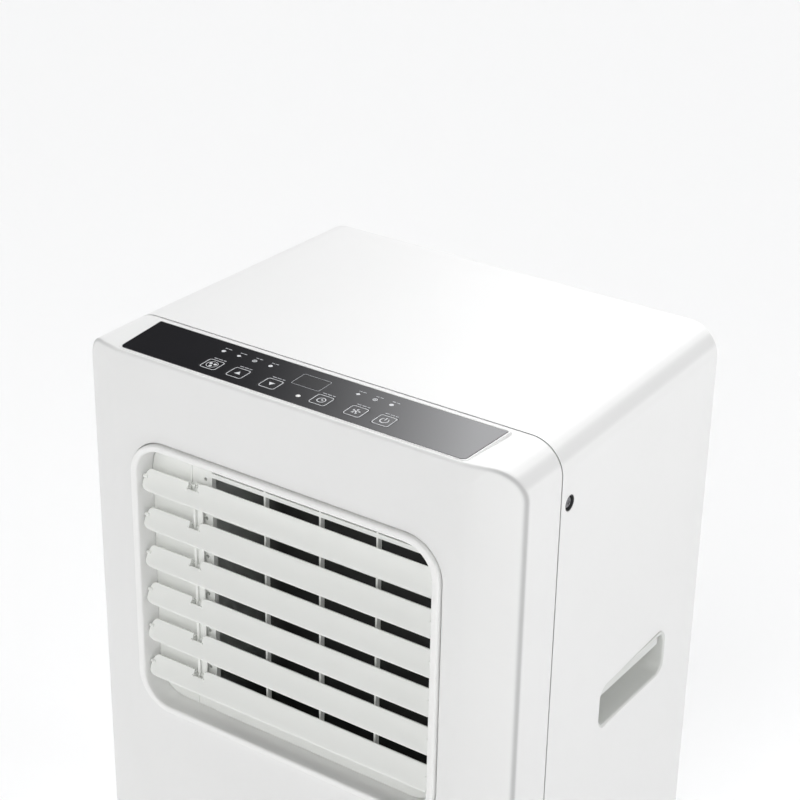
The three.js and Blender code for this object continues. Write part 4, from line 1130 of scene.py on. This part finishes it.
# hairline round the display window
h = (rounded(0.6 - 13.9, 0.6 + 13.9, -29.8 - 9.4, -29.8 + 9.4, 1.4, 4), rounded(0.6 - 13.5, 0.6 + 13.5, -29.8 - 9.0, -29.8 + 9.0, 1.1, 4))
ink("window_hairline", [h], "root", "print_dim")


# ---------------------------------------------------------------- back: collar, plugs, gland, filter nets
DUCT, GLAND = (92.0, 262.0, 66.0), (130.0, 128.0)
prof = [(66, SY(240)), (69, SY(240)), (69, SY(266)), (81, SY(266)), (81, SY(269)), (73.6, SY(269)), (72, SY(270.6)), (72, SY(279)), (72.0, SY(281.8)), (66, SY(281.8))]
collar = lathe("hose_collar", rounded_profile(prof, 0.8, 3), "y", DUCT[0], DUCT[1], "dark_plastic", 96)
soft(collar, 35)
stand_for(collar, "exhaust_collar")
# bayonet ribs inside the collar's mouth
for k in range(3):
    a0 = math.radians(20 + 120 * k)
    pts = []
    for r in (66.4, 63.6):
        row = [(DUCT[0] + r * math.cos(a0 + math.radians(2.2 * i)), DUCT[1] + r * math.sin(a0 + math.radians(2.2 * i))) for i in range(9)]
        pts += row if r > 65 else row[::-1]
    lug = prism(f"collar_lug_{k + 1}", "y", pts, SY(272), SY(276), "dark_plastic")
    bevel(lug, 0.5, 2, 40)
    soft(lug, 40)
    trim(lug, "root")


def plug(node, x, z):
    prof = [(0, SY(250)), (4.9, SY(250)), (5.2, SY(265.9)), (11.5, SY(266.1)), (11.5, SY(268.6)), (10.4, SY(269.2)), (4.6, SY(269.4)), (4.0, SY(270.2)), (4.0, SY(272.6)), (0, SY(272.6))]
    ob = lathe(node + "_body", rounded_profile(prof, 0.6, 3), "y", x, z, "rubber", 48)
    soft(ob, 40)
    stand_for(ob, node)


plug("bottom_drain_plug", 40.0, 62.0)
plug("middle_drain_plug", -60.0, 372.0)
prof = [(4.2, SY(256)), (8.6, SY(256)), (8.6, SY(266)), (12.5, SY(266)), (12.5, SY(269)), (10.6, SY(270.2)), (7.5, SY(272)), (4.2, SY(272))]
gland = lathe("cord_inlet", rounded_profile(prof, 0.6, 3), "y", GLAND[0], GLAND[1], "rubber", 48)
soft(gland, 40)
stand_for(gland, "cord_gland")


def net(name, node, x0, x1, z0, z1, pitch=3.6):
    """A woven screen: two layers of thin threads, each a closed square bar."""
    verts, faces = [], []

    def thread(a0, a1, b0, b1, y):
        base = len(verts)
        for yy in (y - 0.22, y + 0.22):
            verts.extend([(a0, yy, b0), (a1, yy, b0), (a1, yy, b1), (a0, yy, b1)])
        q = [base + i for i in range(8)]
        faces.extend([(q[0], q[1], q[2], q[3]), (q[7], q[6], q[5], q[4]), (q[0], q[4], q[5], q[1]),
                      (q[1], q[5], q[6], q[2]), (q[2], q[6], q[7], q[3]), (q[3], q[7], q[4], q[0])])

    nx, nz = int((x1 - x0) / pitch), int((z1 - z0) / pitch)
    for k in range(1, nx):
        x = x0 + (x1 - x0) * k / nx
        thread(x - 0.22, x + 0.22, z0, z1, SY(262.2))
    for k in range(1, nz):
        z = z0 + (z1 - z0) * k / nz
        thread(x0, x1, z - 0.22, z + 0.22, SY(262.5))
    me = bpy.data.meshes.new(name)
    me.from_pydata([(x * MM, y * MM, z * MM) for x, y, z in verts], [], faces)
    ob = bpy.data.objects.new(name, me)
    COL.objects.link(ob)
    bm = bmesh.new()
    bm.from_mesh(me)
    bmesh.ops.recalc_face_normals(bm, faces=bm.faces)
    bm.to_mesh(me)
    bm.free()
    paint(ob, "net")
    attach(ob, node)
    return ob


net("upper_filter_net", "upper_filter", -143, 143, 455, 633)
net("lower_filter_net", "lower_filter", -169, 7, 111, 209)


# ---------------------------------------------------------------- casters
def wheel(node, x, y):
    half = [(3.0, 7.4), (6.6, 7.4), (7.6, 6.6), (8.2, 4.6), (14.6, 4.2), (15.6, 5.6), (16.8, 7.0), (18.2, 6.3), (18.9, 4.9), (19.0, 3.0)]
    prof = [(r, x - h) for r, h in half] + [(r, x + h) for r, h in half[::-1]]
    ob = lathe(node + "_tread", prof, "x", y, 19.0, "tyre", 56)
    soft(ob, 30)
    stand_for(ob, node)


for yy, a in ((-132.0, "front"), (128.0, "rear")):
    for xx, b in ((-168.0, "left"), (168.0, "right")):
        wheel(f"caster_wheel_{a}_{b}", xx, yy + 10.0)


# ---------------------------------------------------------------- CAD nodes that stay
ROUND = {
    "outlet_grille": (0.35, 2), "louvre_link": (0.5, 2), "back_panel": (0.5, 2), "base_pan": (0.8, 2), "mid_deck": (0.5, 2),
    "upper_filter": (0.45, 2), "lower_filter": (0.45, 2), "electrical_box": (0.5, 2), "electrical_box_cover": (0.5, 2),
    "control_board": (0.15, 1), "swing_motor": (0.4, 2), "compressor": (0.8, 2), "run_capacitor": (0.8, 2),
    "evaporator_coil": (0.2, 1), "condenser_coil": (0.2, 1), "upper_fan_housing": (0.5, 2), "lower_fan_housing": (0.5, 2),
    "upper_blower_wheel": (0.3, 1), "lower_blower_wheel": (0.3, 1), "upper_fan_motor": (0.8, 2), "lower_fan_motor": (0.8, 2),
}
def finish_node(name):
    """The CAD solid again, with merged faces, broken edges and clean shading."""
    src = NODES[name]
    key = SLOT.get(name)
    if key not in M:
        key = "dark_plastic"
    paint(src, key)
    if src.hide_render:
        return
    me = bpy.data.meshes.new(name + "_fine")
    me.from_pydata([tuple(v.co) for v in src.data.vertices], [], [tuple(p.vertices) for p in src.data.polygons])
    ob = bpy.data.objects.new(name + "_fine", me)
    COL.objects.link(ob)
    bm = bmesh.new()
    bm.from_mesh(me)
    bmesh.ops.remove_doubles(bm, verts=bm.verts, dist=1.5e-6)
    bmesh.ops.join_triangles(bm, faces=bm.faces, angle_face_threshold=math.radians(0.5), angle_shape_threshold=math.pi)
    bmesh.ops.recalc_face_normals(bm, faces=bm.faces)
    bm.to_mesh(me)
    bm.free()
    paint(ob, key)
    width, seg = ROUND.get(name, (0.4, 2))
    if name.startswith("caster_fork"):
        width, seg = 0.6, 2
    bevel(ob, width, seg, 40, clamp=True)
    soft(ob, 34)
    stand_for(ob, name)


for name in sorted(NODES):
    finish_node(name)


# ---------------------------------------------------------------- floor, light
def floor():
    me = bpy.data.meshes.new("floor")
    s = 9.0
    me.from_pydata([(-s, -s, 0), (s, -s, 0), (s, s, 0), (-s, s, 0)], [], [(0, 1, 2, 3)])
    ob = bpy.data.objects.new("floor", me)
    ob.location = (0, 0, -0.0005)
    COL.objects.link(ob)
    m = bpy.data.materials.new("floor_paint")
    m.use_nodes = True
    b = m.node_tree.nodes["Principled BSDF"]
    n = m.node_tree.nodes.new("ShaderNodeTexNoise")
    n.inputs["Scale"].default_value = 3.0
    r = m.node_tree.nodes.new("ShaderNodeValToRGB")
    r.color_ramp.elements[0].color = (0.95, 0.95, 0.95, 1)
    r.color_ramp.elements[1].color = (0.97, 0.97, 0.97, 1)
    m.node_tree.links.new(n.outputs[0], r.inputs[0])
    m.node_tree.links.new(r.outputs[0], b.inputs["Base Color"])
    b.inputs["Roughness"].default_value = 0.9
    b.inputs["Specular IOR Level"].default_value = 0.1
    me.materials.append(m)


floor()


def area(name, loc, target, size_x, size_y, power, color=(1, 1, 1)):
    li = bpy.data.lights.new(name, "AREA")
    li.shape = "RECTANGLE"
    li.size, li.size_y = size_x, size_y
    li.energy = power
    li.color = color
    ob = bpy.data.objects.new(name, li)
    ob.location = loc
    d = Vector(target) - Vector(loc)
    ob.rotation_euler = d.to_track_quat("-Z", "Y").to_euler()
    COL.objects.link(ob)
    return ob


def sun(name, direction, strength, angle, color=(1, 1, 1)):
    li = bpy.data.lights.new(name, "SUN")
    li.energy = strength
    li.angle = math.radians(angle)
    li.color = color
    ob = bpy.data.objects.new(name, li)
    ob.rotation_euler = (-Vector(direction)).to_track_quat("-Z", "Y").to_euler()
    COL.objects.link(ob)
    return ob


def world():
    """A dim room with one broad soft glow high behind the cabinet."""
    w = bpy.data.worlds.new("studio")
    w.use_nodes = True
    nt = w.node_tree
    bg = nt.nodes["Background"]
    co = nt.nodes.new("ShaderNodeTexCoord")
    dot = nt.nodes.new("ShaderNodeVectorMath")
    dot.operation = "DOT_PRODUCT"
    dot.inputs[1].default_value = Vector((-0.17, 0.80, 0.57)).normalized()
    nt.links.new(co.outputs["Generated"], dot.inputs[0])
    mr = nt.nodes.new("ShaderNodeMapRange")
    mr.interpolation_type = "LINEAR"
    mr.inputs["From Min"].default_value = 0.889
    mr.inputs["From Max"].default_value = 0.950
    mr.inputs["To Min"].default_value = 0.0
    mr.inputs["To Max"].default_value = 1.0
    nt.links.new(dot.outputs["Value"], mr.inputs["Value"])
    pw = nt.nodes.new("ShaderNodeMath")
    pw.operation = "POWER"
    pw.inputs[1].default_value = 3.0
    nt.links.new(mr.outputs[0], pw.inputs[0])
    ma = nt.nodes.new("ShaderNodeMath")
    ma.operation = "MULTIPLY_ADD"
    ma.inputs[1].default_value = 4.1
    nt.links.new(pw.outputs[0], ma.inputs[0])
    # a pale wall all round, up to about fifteen degrees
    sep = nt.nodes.new("ShaderNodeSeparateXYZ")
    nt.links.new(co.outputs["Generated"], sep.inputs[0])
    wall = nt.nodes.new("ShaderNodeMapRange")
    wall.interpolation_type = "SMOOTHSTEP"
    wall.inputs["From Min"].default_value = 0.21
    wall.inputs["From Max"].default_value = 0.36
    wall.inputs["To Min"].default_value = 0.93
    wall.inputs["To Max"].default_value = 0.07
    nt.links.new(sep.outputs["Z"], wall.inputs["Value"])
    nt.links.new(wall.outputs[0], ma.inputs[2])
    nt.links.new(ma.outputs[0], bg.inputs[1])
    bg.inputs[0].default_value = (0.98, 0.985, 1.0, 1)
    bpy.context.scene.world = w


world()
sun("key", (-0.35, 0.30, 0.88), 1.28, 50, (1.0, 1.0, 1.0))
sun("fill", (0.10, -0.85, 0.50), 1.09, 50, (1.0, 1.0, 0.985))
area("side", (1.25, 0.1, 1.4), (0.2, 0.0, 0.6), 0.9, 0.9, 6.9)

sc = bpy.context.scene
sc.view_settings.view_transform = "Standard"
sc.view_settings.look = "None"
